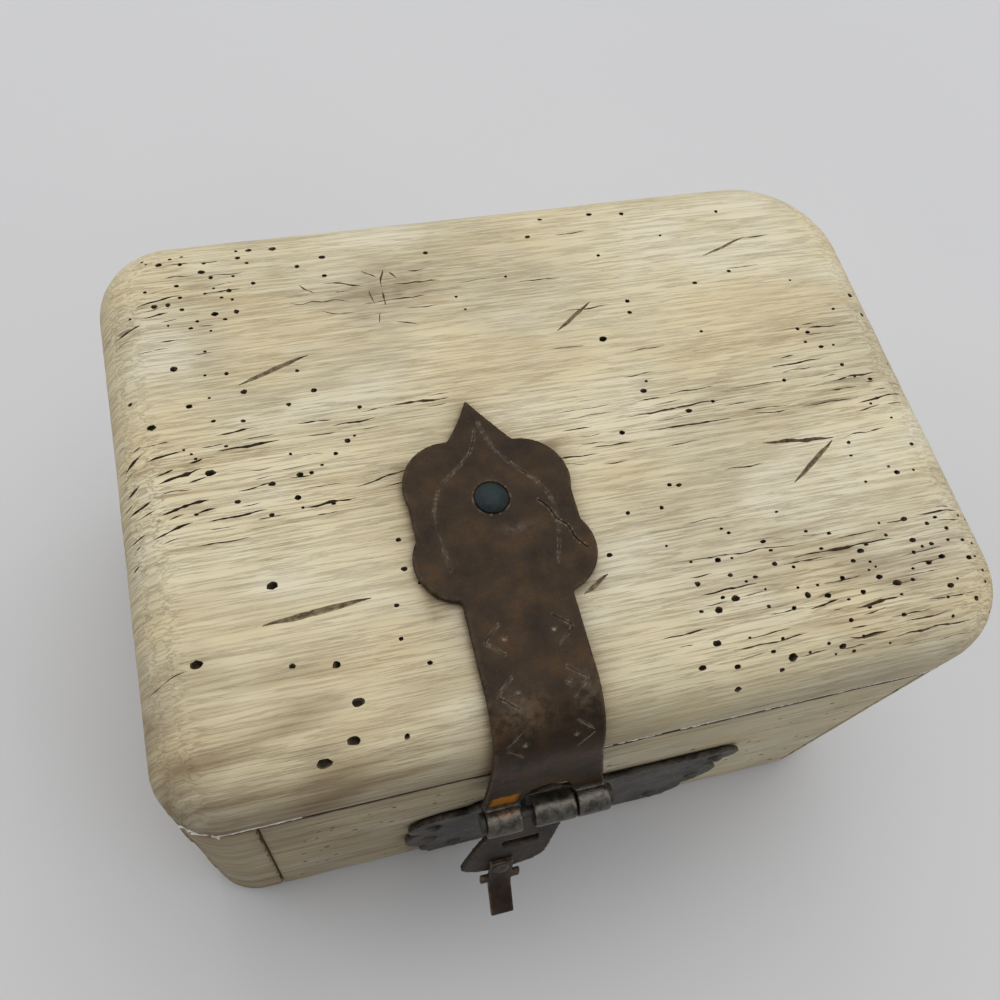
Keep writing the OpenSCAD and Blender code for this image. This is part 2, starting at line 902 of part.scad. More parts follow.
module tab_rivet() {
    tab_outer = tongue_face - tab_t;
    color(dark_iron)
        on_tongue()
            translate([-tab_x, 0, -tab_rivet_at]) {
                bar_y(tab_outer, tongue_face + tongue_t, tab_rivet_r);
                translate([0, tab_outer, 0])
                    rotate([90, 0, 0])
                        dome(tab_rivet_head_r, tab_rivet_head_h);
            }
}

// Lid hinges

module hinge_leaf_lower_left() {
    color(grey_iron)
        hinge_leaf(-1, false);
}

module hinge_leaf_lower_right() {
    color(grey_iron)
        hinge_leaf(1, false);
}

module hinge_leaf_upper_left() {
    color(grey_iron)
        hinge_leaf(-1, true);
}

module hinge_leaf_upper_right() {
    color(grey_iron)
        hinge_leaf(1, true);
}

module hinge_pin_left() {
    color(dark_iron)
        hinge_pin(-1);
}

module hinge_pin_right() {
    color(dark_iron)
        hinge_pin(1);
}

// Hasp

module hasp_strap() {
    color(brown_iron)
        difference() {
            union() {
                translate([hasp_x, front_y, lid_top + strap_gap])
                    linear_extrude(strap_t)
                        strap_outline();
                along_x(hasp_x - strap_w / 2, hasp_x + strap_w / 2)
                    strap_bend();
                strap_leg();
                translate([hasp_x, axis_y, axis_z]) {
                    bar_x(-barrel_left, left_end, barrel_r);
                    bar_x(right_start, barrel_end, barrel_r);
                }
            }
            translate([hasp_x, axis_y, axis_z]) {
                bar_x(-barrel_left - cut, barrel_end + cut, hasp_pin_r + pin_play);
                bar_x(left_end, right_start, barrel_r + knuckle_clear);
                translate([(left_end + right_start) / 2, 0, arch_rise])
                    rotate([-strap_flare, 0, 0])
                        bar_y(0, 2 * barrel_r, arch_r);
            }
            translate([hasp_x, front_y + rivet_back, lid_top])
                cylinder(h = strap_t + 2 * cut, r = rivet_r + hole_play);
        }
}

module hasp_pin() {
    color(grey_iron)
        translate([hasp_x, axis_y, axis_z]) {
            bar_x(-barrel_left - head_gap, barrel_end + head_gap, hasp_pin_r);
            bar_x(-barrel_left - head_gap - pin_head_t, -barrel_left - head_gap, pin_head_r);
            bar_x(barrel_end + head_gap, barrel_end + head_gap + pin_head_t, pin_head_r);
        }
}

module hasp_tongue() {
    color(grey_iron)
        on_tongue()
            difference() {
                union() {
                    bar_x(middle_start, middle_end, barrel_r);
                    translate([0, tongue_face + tongue_t, 0])
                        rotate([90, 0, 0])
                            linear_extrude(tongue_t)
                                mirror([0, 1])
                                    tongue_outline();
                }
                bar_x(middle_start - cut, middle_end + cut, hasp_pin_r + pin_play);
                translate([-staple_x, 0, 0])
                    block([-slot_half, 0, -slot_end], [slot_half, 2 * barrel_r, -slot_top]);
                translate([-tab_x, 0, -tab_rivet_at])
                    bar_y(0, 2 * barrel_r, tab_rivet_r + hole_play);
            }
}

module pull_tab() {
    color(rust)
        on_tongue()
            difference() {
                union() {
                    translate([-tab_x, tongue_face, 0])
                        mirror([0, 1, 0])
                            along_x(-tab_w / 2, tab_w / 2)
                                tab_side(bar_start + bar_h);
                    block(
                        [-tab_x - bar_w / 2, tongue_face - tab_t, -bar_start - bar_h],
                        [-tab_x + bar_w / 2, tongue_face, -bar_start]
                    );
                }
                translate([-tab_x, 0, -tab_rivet_at])
                    bar_y(-barrel_r, 2 * barrel_r, tab_rivet_r + hole_play);
            }
}

// Lock plate and staple

module lock_plate() {
    color(grey_iron)
        difference() {
            translate([plate_x, front_y, 0])
                rotate([90, 0, 0])
                    linear_extrude(plate_t)
                        plate_outline();
            plate_nail_holes();
            staple_holes();
        }
}

module staple() {
    color(dark_iron)
        staple_wire(staple_r);
}

front_board();
back_board();
left_board();
right_board();
base_board();
corner_pegs();
base_nails();
lock_plate();
plate_nails();
staple();
hinge_leaf_lower_left();
hinge_leaf_lower_right();
hinge_pin_left();
hinge_pin_right();
hinge_screws_lower();
lid_board();
hasp_strap();
strap_rivet();
rivet_washer();
hasp_pin();
hinge_leaf_upper_left();
hinge_leaf_upper_right();
hinge_screws_upper();
hasp_tongue();
pull_tab();
tab_rivet();
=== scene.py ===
"""Looks of a pale wooden box with an iron hasp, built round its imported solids."""
import json
import math
import random

import bmesh
import bpy
from mathutils import Matrix, Vector, noise
from mathutils.bvhtree import BVHTree

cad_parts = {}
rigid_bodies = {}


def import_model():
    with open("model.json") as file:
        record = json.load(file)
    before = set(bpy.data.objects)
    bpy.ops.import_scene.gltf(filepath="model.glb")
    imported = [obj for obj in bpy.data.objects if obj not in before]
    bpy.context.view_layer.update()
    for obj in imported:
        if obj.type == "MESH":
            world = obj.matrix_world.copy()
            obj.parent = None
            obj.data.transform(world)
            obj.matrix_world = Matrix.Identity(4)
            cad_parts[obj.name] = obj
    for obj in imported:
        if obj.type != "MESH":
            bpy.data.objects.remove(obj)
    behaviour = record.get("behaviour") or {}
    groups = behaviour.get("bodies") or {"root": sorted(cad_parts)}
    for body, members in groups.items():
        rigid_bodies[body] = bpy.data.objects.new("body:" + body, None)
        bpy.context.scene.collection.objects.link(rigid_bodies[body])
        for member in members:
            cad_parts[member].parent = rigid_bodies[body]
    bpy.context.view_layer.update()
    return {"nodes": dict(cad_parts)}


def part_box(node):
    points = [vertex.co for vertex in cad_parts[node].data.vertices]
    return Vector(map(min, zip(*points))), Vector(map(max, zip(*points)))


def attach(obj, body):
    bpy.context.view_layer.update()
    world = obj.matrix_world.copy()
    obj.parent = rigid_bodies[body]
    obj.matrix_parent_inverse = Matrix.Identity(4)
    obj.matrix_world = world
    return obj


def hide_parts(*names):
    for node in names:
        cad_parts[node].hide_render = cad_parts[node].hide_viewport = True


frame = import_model()
MM = 0.001

# Sizes that the wear and the ornament are placed by, in millimetres
HALF_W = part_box("lid_board")[1][0] / MM
HALF_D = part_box("front_board")[0][1] / -MM
SEAM_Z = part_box("lid_board")[0][2] / MM
LID_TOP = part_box("lid_board")[1][2] / MM
STRAP_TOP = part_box("hasp_strap")[1][2] / MM
STRAP_MIDDLE = -17.0
STRAP_HALF = 11.1
FINIAL_HALF = 17.0
NECK_BACK = 27.0
SHOULDER_BACK = 62.0
TIP_BACK = 73.7
BEND_CENTRE_Y = -53.5
BEND_CENTRE_Z = 99.7
BEND_R = STRAP_TOP - BEND_CENTRE_Z
BEND_BACK = BEND_CENTRE_Y + HALF_D
LEG_FLARE = math.radians(8)


# Camera at the photograph's viewing angle
CAMERA_PLACE = (-61.2, -99.6, 295.2)
CAMERA_RIGHT = Vector((0.96088, -0.24544, 0.12833))
CAMERA_DOWN = Vector((-0.16524, -0.87986, -0.44559))
CAMERA_LENS = 36.72
SENSOR = 36.0

camera_data = bpy.data.cameras.new("camera")
camera_data.lens = CAMERA_LENS
camera_data.sensor_width = SENSOR
camera = bpy.data.objects.new("camera", camera_data)
camera_up = -CAMERA_DOWN.normalized()
camera_right = (CAMERA_RIGHT - camera_up * CAMERA_RIGHT.dot(camera_up)).normalized()
camera_back = camera_right.cross(camera_up)
camera.matrix_world = Matrix.Translation(Vector(CAMERA_PLACE) * MM) @ Matrix(
    (camera_right, camera_up, camera_back)
).transposed().to_4x4()
bpy.context.collection.objects.link(camera)
bpy.context.scene.camera = camera


# Node-tree helpers

class Nodes:
    """A node tree, with short calls to add and link nodes."""

    def __init__(self, owner):
        owner.use_nodes = True
        self.tree = owner.node_tree

    def add(self, kind, inputs=None, **settings):
        item = self.tree.nodes.new("ShaderNode" + kind)
        for key, value in settings.items():
            setattr(item, key, value)
        for key, value in (inputs or {}).items():
            self.put(item.inputs[key], value)
        return item

    def put(self, socket, value):
        if isinstance(value, bpy.types.NodeSocket):
            self.tree.links.new(value, socket)
        else:
            socket.default_value = value

    def span(self, value, low, high, out_low=0.0, out_high=1.0):
        """Smooth step of a value from low..high to out_low..out_high."""
        inputs = {"Value": value, "From Min": low, "From Max": high, "To Min": out_low, "To Max": out_high}
        return self.add("MapRange", inputs, interpolation_type="SMOOTHSTEP").outputs["Result"]

    def math(self, kind, a, b=0.0):
        item = self.add("Math", operation=kind)
        self.put(item.inputs[0], a)
        self.put(item.inputs[1], b)
        return item.outputs[0]


class Shader(Nodes):
    """The nodes of a new material."""

    def __init__(self, name):
        self.material = bpy.data.materials.new(name)
        super().__init__(self.material)
        self.surface = self.tree.nodes["Principled BSDF"]
        place = self.add("TexCoord")
        self.coords = place.outputs["Object"]
        self.normals = place.outputs["Normal"]

    def done(self, color, rough, metal=0.0, gloss=0.5, normal=None):
        """The material, with what its surface is made of."""
        names = ("Base Color", "Roughness", "Metallic", "Specular IOR Level", "Normal")
        for name, value in zip(names, (color, rough, metal, gloss, normal)):
            if value is not None:
                self.put(self.surface.inputs[name], value)
        return self.material

    def mapped(self, scale=(1, 1, 1), shift=(0, 0, 0)):
        item = self.add("Mapping", {"Vector": self.coords, "Scale": scale, "Location": shift})
        return item.outputs["Vector"]

    def noise(self, size_mm, vector=None, detail=4.0, rough=0.55, distortion=0.0):
        """Noise whose features measure about size_mm."""
        inputs = {"Vector": vector or self.coords, "Scale": 1 / (size_mm * MM), "Detail": detail}
        inputs.update({"Roughness": rough, "Distortion": distortion})
        return self.add("TexNoise", inputs).outputs["Fac"]

    def times(self, a, b):
        return self.math("MULTIPLY", a, b)

    def plus(self, a, b):
        return self.math("ADD", a, b)

    def mix(self, share, a, b):
        """Mix of two colors."""
        item = self.add("Mix", {"Factor": share}, data_type="RGBA")
        for socket, value in ((item.inputs[6], a), (item.inputs[7], b)):
            self.put(socket, value if isinstance(value, bpy.types.NodeSocket) else (*value, 1.0))
        return item.outputs[2]

    def near(self, value, middle, reach):
        """1 where a value is at its middle, falling to 0 at a distance of reach."""
        return self.span(self.math("ABSOLUTE", self.math("SUBTRACT", value, middle)), reach, 0.0)

    def mix_vector(self, share, a, b):
        item = self.add("Mix", {"Factor": share}, data_type="VECTOR")
        self.put(item.inputs[4], a)
        self.put(item.inputs[5], b)
        return item.outputs[1]

    def axis_turn(self, axis):
        """How squarely the surface faces along one axis of the piece, from 0 to 1."""
        parts = self.add("SeparateXYZ", {"Vector": self.normals})
        return self.math("ABSOLUTE", parts.outputs[axis])

    def attribute(self, name):
        return self.add("Attribute", attribute_name=name).outputs["Fac"]

    def bump(self, height, strength, distance_mm, normal=None):
        inputs = {"Height": height, "Strength": strength, "Distance": distance_mm * MM}
        item = self.add("Bump", inputs)
        if normal is not None:
            self.put(item.inputs["Normal"], normal)
        return item.outputs["Normal"]


# Wood

CREAM = (0.62, 0.545, 0.362)
GREY_CREAM = (0.50, 0.44, 0.30)
PALE_FIBRE = (0.70, 0.635, 0.45)
PALE_WASH = (0.665, 0.615, 0.475)
WARM_CREAM = (0.585, 0.475, 0.275)
LINE_BROWN = (0.235, 0.16, 0.08)
STREAK_BROWN = (0.315, 0.23, 0.12)
CHECK_BROWN = (0.075, 0.053, 0.028)
# Brown of real stains, also used for painted shade
GRIME_AND_SHADE_BROWN = (0.165, 0.105, 0.05)
RAW_WOOD = (0.33, 0.215, 0.11)
RAW_DARK = (0.16, 0.10, 0.05)


def wood(name, along, around, seed, bare=0.0):
    """Dry cream-washed wood. Grain runs along one axis, and turns over the ends along the axis around."""
    s = Shader(name)
    ends = s.span(s.axis_turn(along), 0.35, 0.8)

    def grain(share):
        scale = [1.0, 1.0, 1.0]
        scale[along] = share
        over = list(scale)
        over[around] = share
        shift = [seed * 0.037, seed * 0.023, seed * 0.011]
        vectors = []
        for each in (scale, over):
            place = list(shift)
            place[2] -= each[2] * LID_TOP * MM
            vectors.append(s.mapped(each, place))
        return s.mix_vector(ends, *vectors)

    plain = s.mapped((1, 1, 1), (seed * 0.37, seed * 0.23, seed * 0.11))
    cloud = s.noise(42, plain, 3)
    patch = s.span(s.noise(13, plain, 4, 0.6), 0.4, 0.62)
    line = s.near(s.noise(1.0, grain(0.035), 5, 0.62, 0.1), 0.5, 0.045)
    streak = s.noise(2.2, grain(0.05), 5, 0.6, 0.2)
    fibre = s.noise(0.42, grain(0.05), 3, 0.6)
    check = s.noise(1.5, grain(0.045), 4, 0.55, 0.25)
    dry = s.attribute("dry")

    wash = s.noise(24, s.mapped((0.6, 1, 1), (seed * 0.53, seed * 0.31, seed * 0.17)), 3)
    color = s.mix(s.span(cloud, 0.4, 0.64), CREAM, GREY_CREAM)
    color = s.mix(s.times(s.span(wash, 0.5, 0.66), 0.7), color, PALE_WASH)
    color = s.mix(s.times(s.span(wash, 0.5, 0.36), 0.5), color, WARM_CREAM)
    color = s.mix(s.times(s.span(fibre, 0.5, 0.72), 0.55), color, PALE_FIBRE)
    color = s.mix(s.times(s.span(fibre, 0.5, 0.3), 0.22), color, STREAK_BROWN)
    share = s.plus(s.times(patch, 0.18), s.times(dry, 0.45))
    color = s.mix(s.times(line, s.plus(share, 0.14)), color, LINE_BROWN)
    share = s.plus(s.times(dry, 0.65), 0.2)
    color = s.mix(s.times(s.span(streak, 0.52, 0.72), share), color, STREAK_BROWN)
    share = s.times(s.plus(s.times(dry, 0.9), 0.12), s.span(patch, 0.0, 1.0, 0.35, 1.0))
    split = s.times(s.span(check, 0.615, 0.69), share)
    color = s.mix(split, color, CHECK_BROWN)
    # Brown stains with painted shade at the seam and the front left, read from one vertex attribute
    grime_and_shade = s.times(s.attribute("grime_and_shade"), s.span(streak, 0.25, 0.6, 0.6, 1.0))
    color = s.mix(grime_and_shade, color, GRIME_AND_SHADE_BROWN)
    raw = s.mix(s.span(streak, 0.35, 0.7), RAW_WOOD, RAW_DARK)
    color = s.mix(s.math("MAXIMUM", s.attribute("raw"), bare), color, raw)

    height = s.math("SUBTRACT", s.times(fibre, 0.5), s.times(line, 0.35))
    normal = s.bump(height, 0.6, 0.3)
    normal = s.bump(s.times(split, -1.0), 0.6, 0.4, normal)
    return s.done(color, s.span(fibre, 0.3, 0.7, 0.68, 0.86), gloss=0.3, normal=normal)


def dark_wood(name, deep, dusty):
    """Inside of holes, splits and dents: brown dust on bare wood."""
    s = Shader(name)
    patch = s.noise(1.1, detail=4)
    color = s.mix(s.span(patch, 0.35, 0.68), deep, dusty)
    return s.done(color, rough=0.95, normal=s.bump(patch, 0.5, 0.3))


def peg_wood(name):
    """Darker end grain of the corner pegs, with growth rings."""
    s = Shader(name)
    grain = s.noise(0.8, s.mapped((0.08, 1, 1)), 5)
    ring = s.noise(1.6, s.mapped((0.02, 1, 1)), 2, 0.4, 0.8)
    color = s.mix(s.span(grain, 0.35, 0.7), (0.40, 0.31, 0.18), (0.17, 0.115, 0.06))
    color = s.mix(s.times(s.span(ring, 0.5, 0.62), 0.45), color, (0.12, 0.08, 0.04))
    return s.done(color, rough=0.8, normal=s.bump(grain, 0.5, 0.3))


# Iron

BARE_DARK = (0.045, 0.041, 0.035)
BARE_LIGHT = (0.125, 0.116, 0.098)
RUST_ORANGE = (0.40, 0.15, 0.012)
RUST_BROWN = (0.13, 0.05, 0.012)
# Pale colour of rubbed edges, also used for painted highlights on the strap
RUBBED_AND_GLINT = (0.155, 0.12, 0.085)


def iron(name, dark, light, rust, rust_share, metal=0.35, gloss=0.16):
    """Hand-forged iron: mottled patina, rust bloom, pits, bare metal, light edges where it is rubbed, and
    painted highlights carried by the same attribute.
    """
    s = Shader(name)
    cloud = s.noise(8, detail=5, rough=0.6)
    mottle = s.noise(1.8, detail=6, rough=0.68)
    grit = s.noise(0.38, detail=3)
    scratch = s.noise(0.3, s.mapped((1, 0.05, 0.05)), 2)
    tone = s.plus(s.times(cloud, 0.65), s.times(mottle, 0.35))
    color = s.mix(s.span(tone, 0.38, 0.63), dark, light)
    bloom = s.times(s.span(cloud, 0.48, 0.7), s.span(mottle, 0.38, 0.6))
    color = s.mix(s.times(bloom, rust_share), color, rust)
    color = s.mix(s.times(s.span(cloud, 0.46, 0.3), 0.3), color, tuple(0.4 * c for c in dark))
    color = s.mix(s.times(s.span(grit, 0.6, 0.74), 0.35), color, tuple(0.3 * c for c in dark))
    color = s.mix(s.times(s.span(grit, 0.42, 0.28), 0.14), color, RUBBED_AND_GLINT)
    bare = s.times(s.attribute("bare"), s.span(mottle, 0.28, 0.5, 0.6, 1.0))
    color = s.mix(bare, color, s.mix(s.span(mottle, 0.3, 0.75), BARE_DARK, BARE_LIGHT))
    # Rubbed light edges, and the strap's painted highlight, from one vertex attribute
    worn_and_glint = s.times(s.attribute("rubbed_and_glint"), s.span(mottle, 0.36, 0.6))
    worn_and_glint = s.plus(worn_and_glint, s.times(s.span(scratch, 0.7, 0.78), 0.1))
    color = s.mix(worn_and_glint, color, RUBBED_AND_GLINT)
    color = s.mix(s.attribute("rust"), color, s.mix(s.span(grit, 0.3, 0.5), RUST_BROWN, RUST_ORANGE))
    normal = s.bump(mottle, 0.3, 0.25)
    normal = s.bump(grit, 0.25, 0.12, normal)
    rough = s.math("SUBTRACT", s.span(mottle, 0.3, 0.7, 0.42, 0.62), s.times(bare, 0.16))
    return s.done(color, rough, s.span(bare, 0.0, 1.0, metal, 0.85), gloss, normal)


def scribed_iron(name):
    """Paler metal at the bottom of a scribed line."""
    s = Shader(name)
    mottle = s.noise(4, detail=4)
    color = s.mix(s.span(mottle, 0.36, 0.64), (0.062, 0.047, 0.034), (0.2, 0.17, 0.13))
    return s.done(color, rough=0.55, metal=0.4)


def paint_flake(name):
    """Chipped edge of the white ground under the cream wash."""
    s = Shader(name)
    mottle = s.noise(0.7, detail=4)
    return s.done(s.mix(s.span(mottle, 0.4, 0.65), (0.78, 0.76, 0.70), (0.60, 0.55, 0.45)), rough=0.8)


def floor_paper(name):
    """Plain pale studio floor."""
    s = Shader(name)
    tone = s.noise(160, detail=2)
    return s.done(s.mix(tone, (0.55, 0.55, 0.56), (0.58, 0.58, 0.588)), rough=0.9)


WOOD_LID = wood("cream_wood_lid", 0, 2, 1)
WOOD_FRONT = wood("cream_wood_front", 0, 1, 2)
WOOD_BACK = wood("cream_wood_back", 0, 1, 3)
WOOD_LEFT = wood("cream_wood_left", 1, 0, 4)
WOOD_RIGHT = wood("cream_wood_right", 1, 0, 5)
WOOD_BASE = wood("bare_wood_base", 0, 1, 6, 0.85)
HOLE_WOOD = dark_wood("hole_wood", (0.04, 0.028, 0.016), (0.115, 0.082, 0.048))
SPLIT_WOOD = dark_wood("split_wood", (0.085, 0.058, 0.031), (0.22, 0.16, 0.093))
# Near-black grime and painted shade for the gap between lid and case
SEAM_GRIME_AND_SHADE = dark_wood("seam_dirt", (0.018, 0.012, 0.007), (0.07, 0.05, 0.03))
DENT_WOOD = dark_wood("dent_wood", (0.115, 0.085, 0.045), (0.30, 0.245, 0.15))
PEG_WOOD = peg_wood("peg_wood")
BROWN_IRON = iron(
    "brown_iron", (0.021, 0.0125, 0.0065), (0.040, 0.0235, 0.0112),
    (0.07, 0.034, 0.0125), 0.55, metal=0.15, gloss=0.12,
)
GREY_IRON = iron(
    "grey_iron", (0.018, 0.016, 0.014), (0.078, 0.072, 0.062), (0.06, 0.036, 0.02), 0.5, metal=0.45,
)
TONGUE_IRON = iron(
    "tongue_iron", (0.016, 0.011, 0.008), (0.042, 0.031, 0.023), (0.055, 0.029, 0.014), 0.5, metal=0.25,
)
DARK_IRON = iron(
    "dark_iron", (0.009, 0.015, 0.0155), (0.022, 0.033, 0.034),
    (0.03, 0.027, 0.022), 0.2, metal=0.1, gloss=0.12,
)
NAIL_IRON = iron(
    "nail_iron", (0.035, 0.031, 0.027), (0.11, 0.10, 0.087), (0.07, 0.04, 0.024), 0.4, metal=0.5,
)
RUST_IRON = iron(
    "rust_iron", (0.015, 0.008, 0.0045), (0.038, 0.021, 0.011), (0.066, 0.031, 0.012), 0.6, metal=0.2,
)
SCRIBED_IRON = scribed_iron("scribed_iron")
PIT_IRON = iron("pit_iron", (0.008, 0.006, 0.004), (0.026, 0.018, 0.012), (0.03, 0.02, 0.01), 0.4)
PAINT_FLAKE = paint_flake("paint_flake")


# Mesh helpers

# Depth from which a face counts as cut
FRESH_MM = 0.04


def wave(place):
    """Smooth noise from 0 to 1."""
    return 0.5 + 0.5 * noise.noise(place)


def clamp(value):
    return max(0.0, min(1.0, value))


def blob(place, x, y, along, across):
    """Round patch about (x, y) in plan: 1 at its middle, fading out over its reach along X and Y."""
    return math.exp(-((place.x - x) / along) ** 2 - ((place.y - y) / across) ** 2)


def surface_of(item):
    return BVHTree.FromObject(item, bpy.context.evaluated_depsgraph_get())


def new_object(name, data):
    item = bpy.data.objects.new(name, data)
    bpy.context.collection.objects.link(item)
    return item


def applied(item):
    """The object's mesh with its modifiers applied, put back on the object."""
    depsgraph = bpy.context.evaluated_depsgraph_get()
    mesh = bpy.data.meshes.new_from_object(item.evaluated_get(depsgraph))
    item.modifiers.clear()
    item.data = mesh
    return mesh


def even_copy(node, name, voxel_mm, material):
    """Copy of a CAD node with an even mesh that can be worn and cut."""
    mesh = frame["nodes"][node].data.copy()
    mesh.materials.clear()
    if mesh.has_custom_normals:
        mesh.attributes.remove(mesh.attributes["custom_normal"])
    work = bmesh.new()
    work.from_mesh(mesh)
    bmesh.ops.remove_doubles(work, verts=work.verts, dist=1e-6)
    work.to_mesh(mesh)
    work.free()
    item = new_object(name, mesh)
    remesh = item.modifiers.new("even", "REMESH")
    remesh.mode = "VOXEL"
    remesh.voxel_size = voxel_mm * MM
    applied(item).materials.append(material)
    return item


def normals_of(mesh):
    return [n.vector.copy() for n in mesh.vertex_normals]


def measured(mesh, amount):
    """What amount(place in mm, normal) says at each vertex."""
    return [amount(v.co / MM, n) for v, n in zip(mesh.vertices, normals_of(mesh))]


def wear(item, shift):
    """Moves each vertex by shift(place in mm, normal), given in mm."""
    for vertex, move in zip(item.data.vertices, measured(item.data, shift)):
        vertex.co += move * MM
    item.data.update()


def cut(item, cutter_mesh, inside):
    """Cuts the closed cutters out of the piece and gives the fresh faces the inside material."""
    before = surface_of(item)
    cutter = new_object("cutter", cutter_mesh)
    boolean = item.modifiers.new("cut", "BOOLEAN")
    boolean.operation = "DIFFERENCE"
    boolean.solver = "MANIFOLD"
    boolean.object = cutter
    mesh = applied(item)
    bpy.data.objects.remove(cutter)
    slot = mesh.materials.find(inside.name)
    if slot < 0:
        mesh.materials.append(inside)
        slot = len(mesh.materials) - 1
    deep = [before.find_nearest(v.co)[3] > FRESH_MM * MM for v in mesh.vertices]
    for face in mesh.polygons:
        if any(deep[i] for i in face.vertices):
            face.material_index = slot


def joined(work):
    mesh = bpy.data.meshes.new("shape")
    bmesh.ops.recalc_face_normals(work, faces=work.faces)
    work.to_mesh(mesh)
    work.free()
    return mesh


def lofted(work, rings):
    """Closed skin through rings of points, with flat ends."""
    loops = [[work.verts.new(Vector(p) * MM) for p in ring] for ring in rings]
    count = len(loops[0])
    for low, high in zip(loops, loops[1:]):
        for i in range(count):
            work.faces.new((low[i], low[(i + 1) % count], high[(i + 1) % count], high[i]))
    work.faces.new(loops[0])
    work.faces.new(loops[-1][::-1])


def smooth(item, angle_deg=40):
    """Smooth shading with sharp edges kept."""
    mesh = item.data
    mesh.shade_smooth()
    mesh.set_sharp_from_angle(angle=math.radians(angle_deg))
    for face in mesh.polygons:
        face.use_smooth = face.material_index == 0


def keep(mesh, name, values):
    """Writes values to a named vertex attribute that the materials read."""
    mesh.attributes.new(name, "FLOAT", "POINT").data.foreach_set("value", values)


def paint(item, name, amount):
    keep(item.data, name, measured(item.data, amount))


def stand_in(item, body, node):
    """Lets a piece ride on a body in place of a CAD node."""
    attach(item, body)
    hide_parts(node)


# Cutters: worm holes and splits

# Distance in m from which a side is looked at
LOOK_FROM = 0.4
# Corners of a small and a large round cut
SMALL_ROUND = 12
LARGE_ROUND = 40
HOLE_RADII = (0.26, 0.3, 0.34, 0.4, 0.5)
# Length of a split between two of its rings, and how far its cutter stands out
CRACK_STEP = 0.9
CRACK_LIFT = 0.45
SEAM_WEAR = 0.7


class Ground:
    """Outer surface of a piece, met by looking straight at one of its sides."""

    def __init__(self, item, towards):
        self.tree = surface_of(item)
        self.towards = Vector(towards)
        self.axes = [i for i in range(3) if abs(self.towards[i]) < 0.5]

    def spot(self, u, v):
        """Place in mm and normal where the look at (u, v) meets the piece, or None."""
        start = -self.towards * LOOK_FROM
        start[self.axes[0]] = u * MM
        start[self.axes[1]] = v * MM
        place, normal, _, _ = self.tree.ray_cast(start, self.towards)
        return None if place is None else (place / MM, normal)


def turned(work, place, axis, side, rings, shape, stretch=1.0):
    """Closed cutter about an axis: rings (height, share) of a shape that is given by its radii."""
    across = axis.cross(side)
    turns = [2 * math.pi * i / len(shape) for i in range(len(shape))]
    lofted(work, [[
        place + axis * level
        + side * (math.cos(turn) * radius * share * stretch)
        + across * (math.sin(turn) * radius * share)
        for turn, radius in zip(turns, shape)
    ] for level, share in rings])


def worm_hole(work, rng, ground, u, v, radius, depth, along):
    """Leaning hole with a ragged rim, a little longer along the grain."""
    found = ground.spot(u, v)
    if found is None:
        return
    place, normal = found
    lean = Vector((rng.uniform(-1, 1), rng.uniform(-1, 1), rng.uniform(-1, 1))) * 0.3
    axis = (normal + lean).normalized()
    grain = Vector()
    grain[along] = 1.0
    side = (grain - axis * grain.dot(axis)).normalized()
    shape = [radius * rng.uniform(0.86, 1.14) for _ in range(SMALL_ROUND)]
    stretch = rng.uniform(1.05, 1.6)
    rings = ((0.9, 1.15), (0.0, 1.08), (-0.3 * depth, 0.9), (-0.7 * depth, 0.8), (-depth, 0.45))
    turned(work, place, axis, side, rings, shape, stretch)


def between(a, b, t):
    return a[0] + (b[0] - a[0]) * t, a[1] + (b[1] - a[1]) * t


def groove_ring(place, normal, across, half, depth, lift):
    """Ring of a V groove that is 2 * half wide at the surface. The ring starts a lift above it."""
    spread = half * (1 + lift / depth)
    return [
        place + normal * lift + across * spread,
        place + normal * lift - across * spread,
        place - normal * depth,
    ]


def crack(work, rng, ground, start, end, width, depth, wobble, rough=0.9):
    """V-shaped split that wanders a little, swells and thins, and runs out at both ends."""
    run = math.dist(start, end)
    steps = max(6, int(run / CRACK_STEP))
    heading = ((end[0] - start[0]) / run, (end[1] - start[1]) / run)
    phase = rng.uniform(0, 100)
    rings = []
    for i in range(steps + 1):
        t = i / steps
        drift = wobble * noise.noise(Vector((phase, t * run / 4.0, 0)))
        u, v = between(start, end, t)
        u -= heading[1] * drift
        v += heading[0] * drift
        found = ground.spot(u, v)
        ahead = ground.spot(u + heading[0] * 0.2, v + heading[1] * 0.2)
        if found is None or ahead is None:
            break
        place, normal = found
        across = normal.cross(ahead[0] - place).normalized()
        swell = 0.8 + rough * noise.noise(Vector((phase + 40, t * run / 1.6, 0)))
        share = max(0.1, min(1.3, swell)) * min(1.0, 0.12 + 4.0 * t * (1 - t))
        deep = depth * (0.35 + 0.65 * share)
        rings.append(groove_ring(place, normal, across, width / 2 * share, deep, CRACK_LIFT))
    if len(rings) > 3:
        lofted(work, rings)


def worm_holes(rng, ground, along, patches, singles=()):
    """Scattered holes in patches (u0, u1, v0, v1, count) and single holes (u, v, radius)."""
    work = bmesh.new()
    taken = []
    wanted = list(singles)
    for u0, u1, v0, v1, count in patches:
        for _ in range(count):
            radius = rng.choice(HOLE_RADII)
            wanted.append((rng.uniform(u0, u1), rng.uniform(v0, v1), radius))
    for u, v, radius in wanted:
        if all(math.hypot(u - a, v - b) > 1.5 * (radius + r) + 0.5 for a, b, r in taken):
            taken.append((u, v, radius))
            worm_hole(work, rng, ground, u, v, radius, 0.9 + 1.6 * radius, along)
    return joined(work)


def fits(taken, start, end, room):
    """True if a line keeps clear of the cells that other lines have taken. It then takes its own."""
    steps = int(math.dist(start, end) / (0.5 * room)) + 2
    cells = set()
    for i in range(steps + 1):
        u = start[0] + (end[0] - start[0]) * i / steps
        v = start[1] + (end[1] - start[1]) * i / steps
        cells.add((math.floor(u / room), math.floor(v / room)))
    if any((a + i, b + j) in taken for a, b in cells for i in (-1, 0, 1) for j in (-1, 0, 1)):
        return False
    taken.update(cells)
    return True


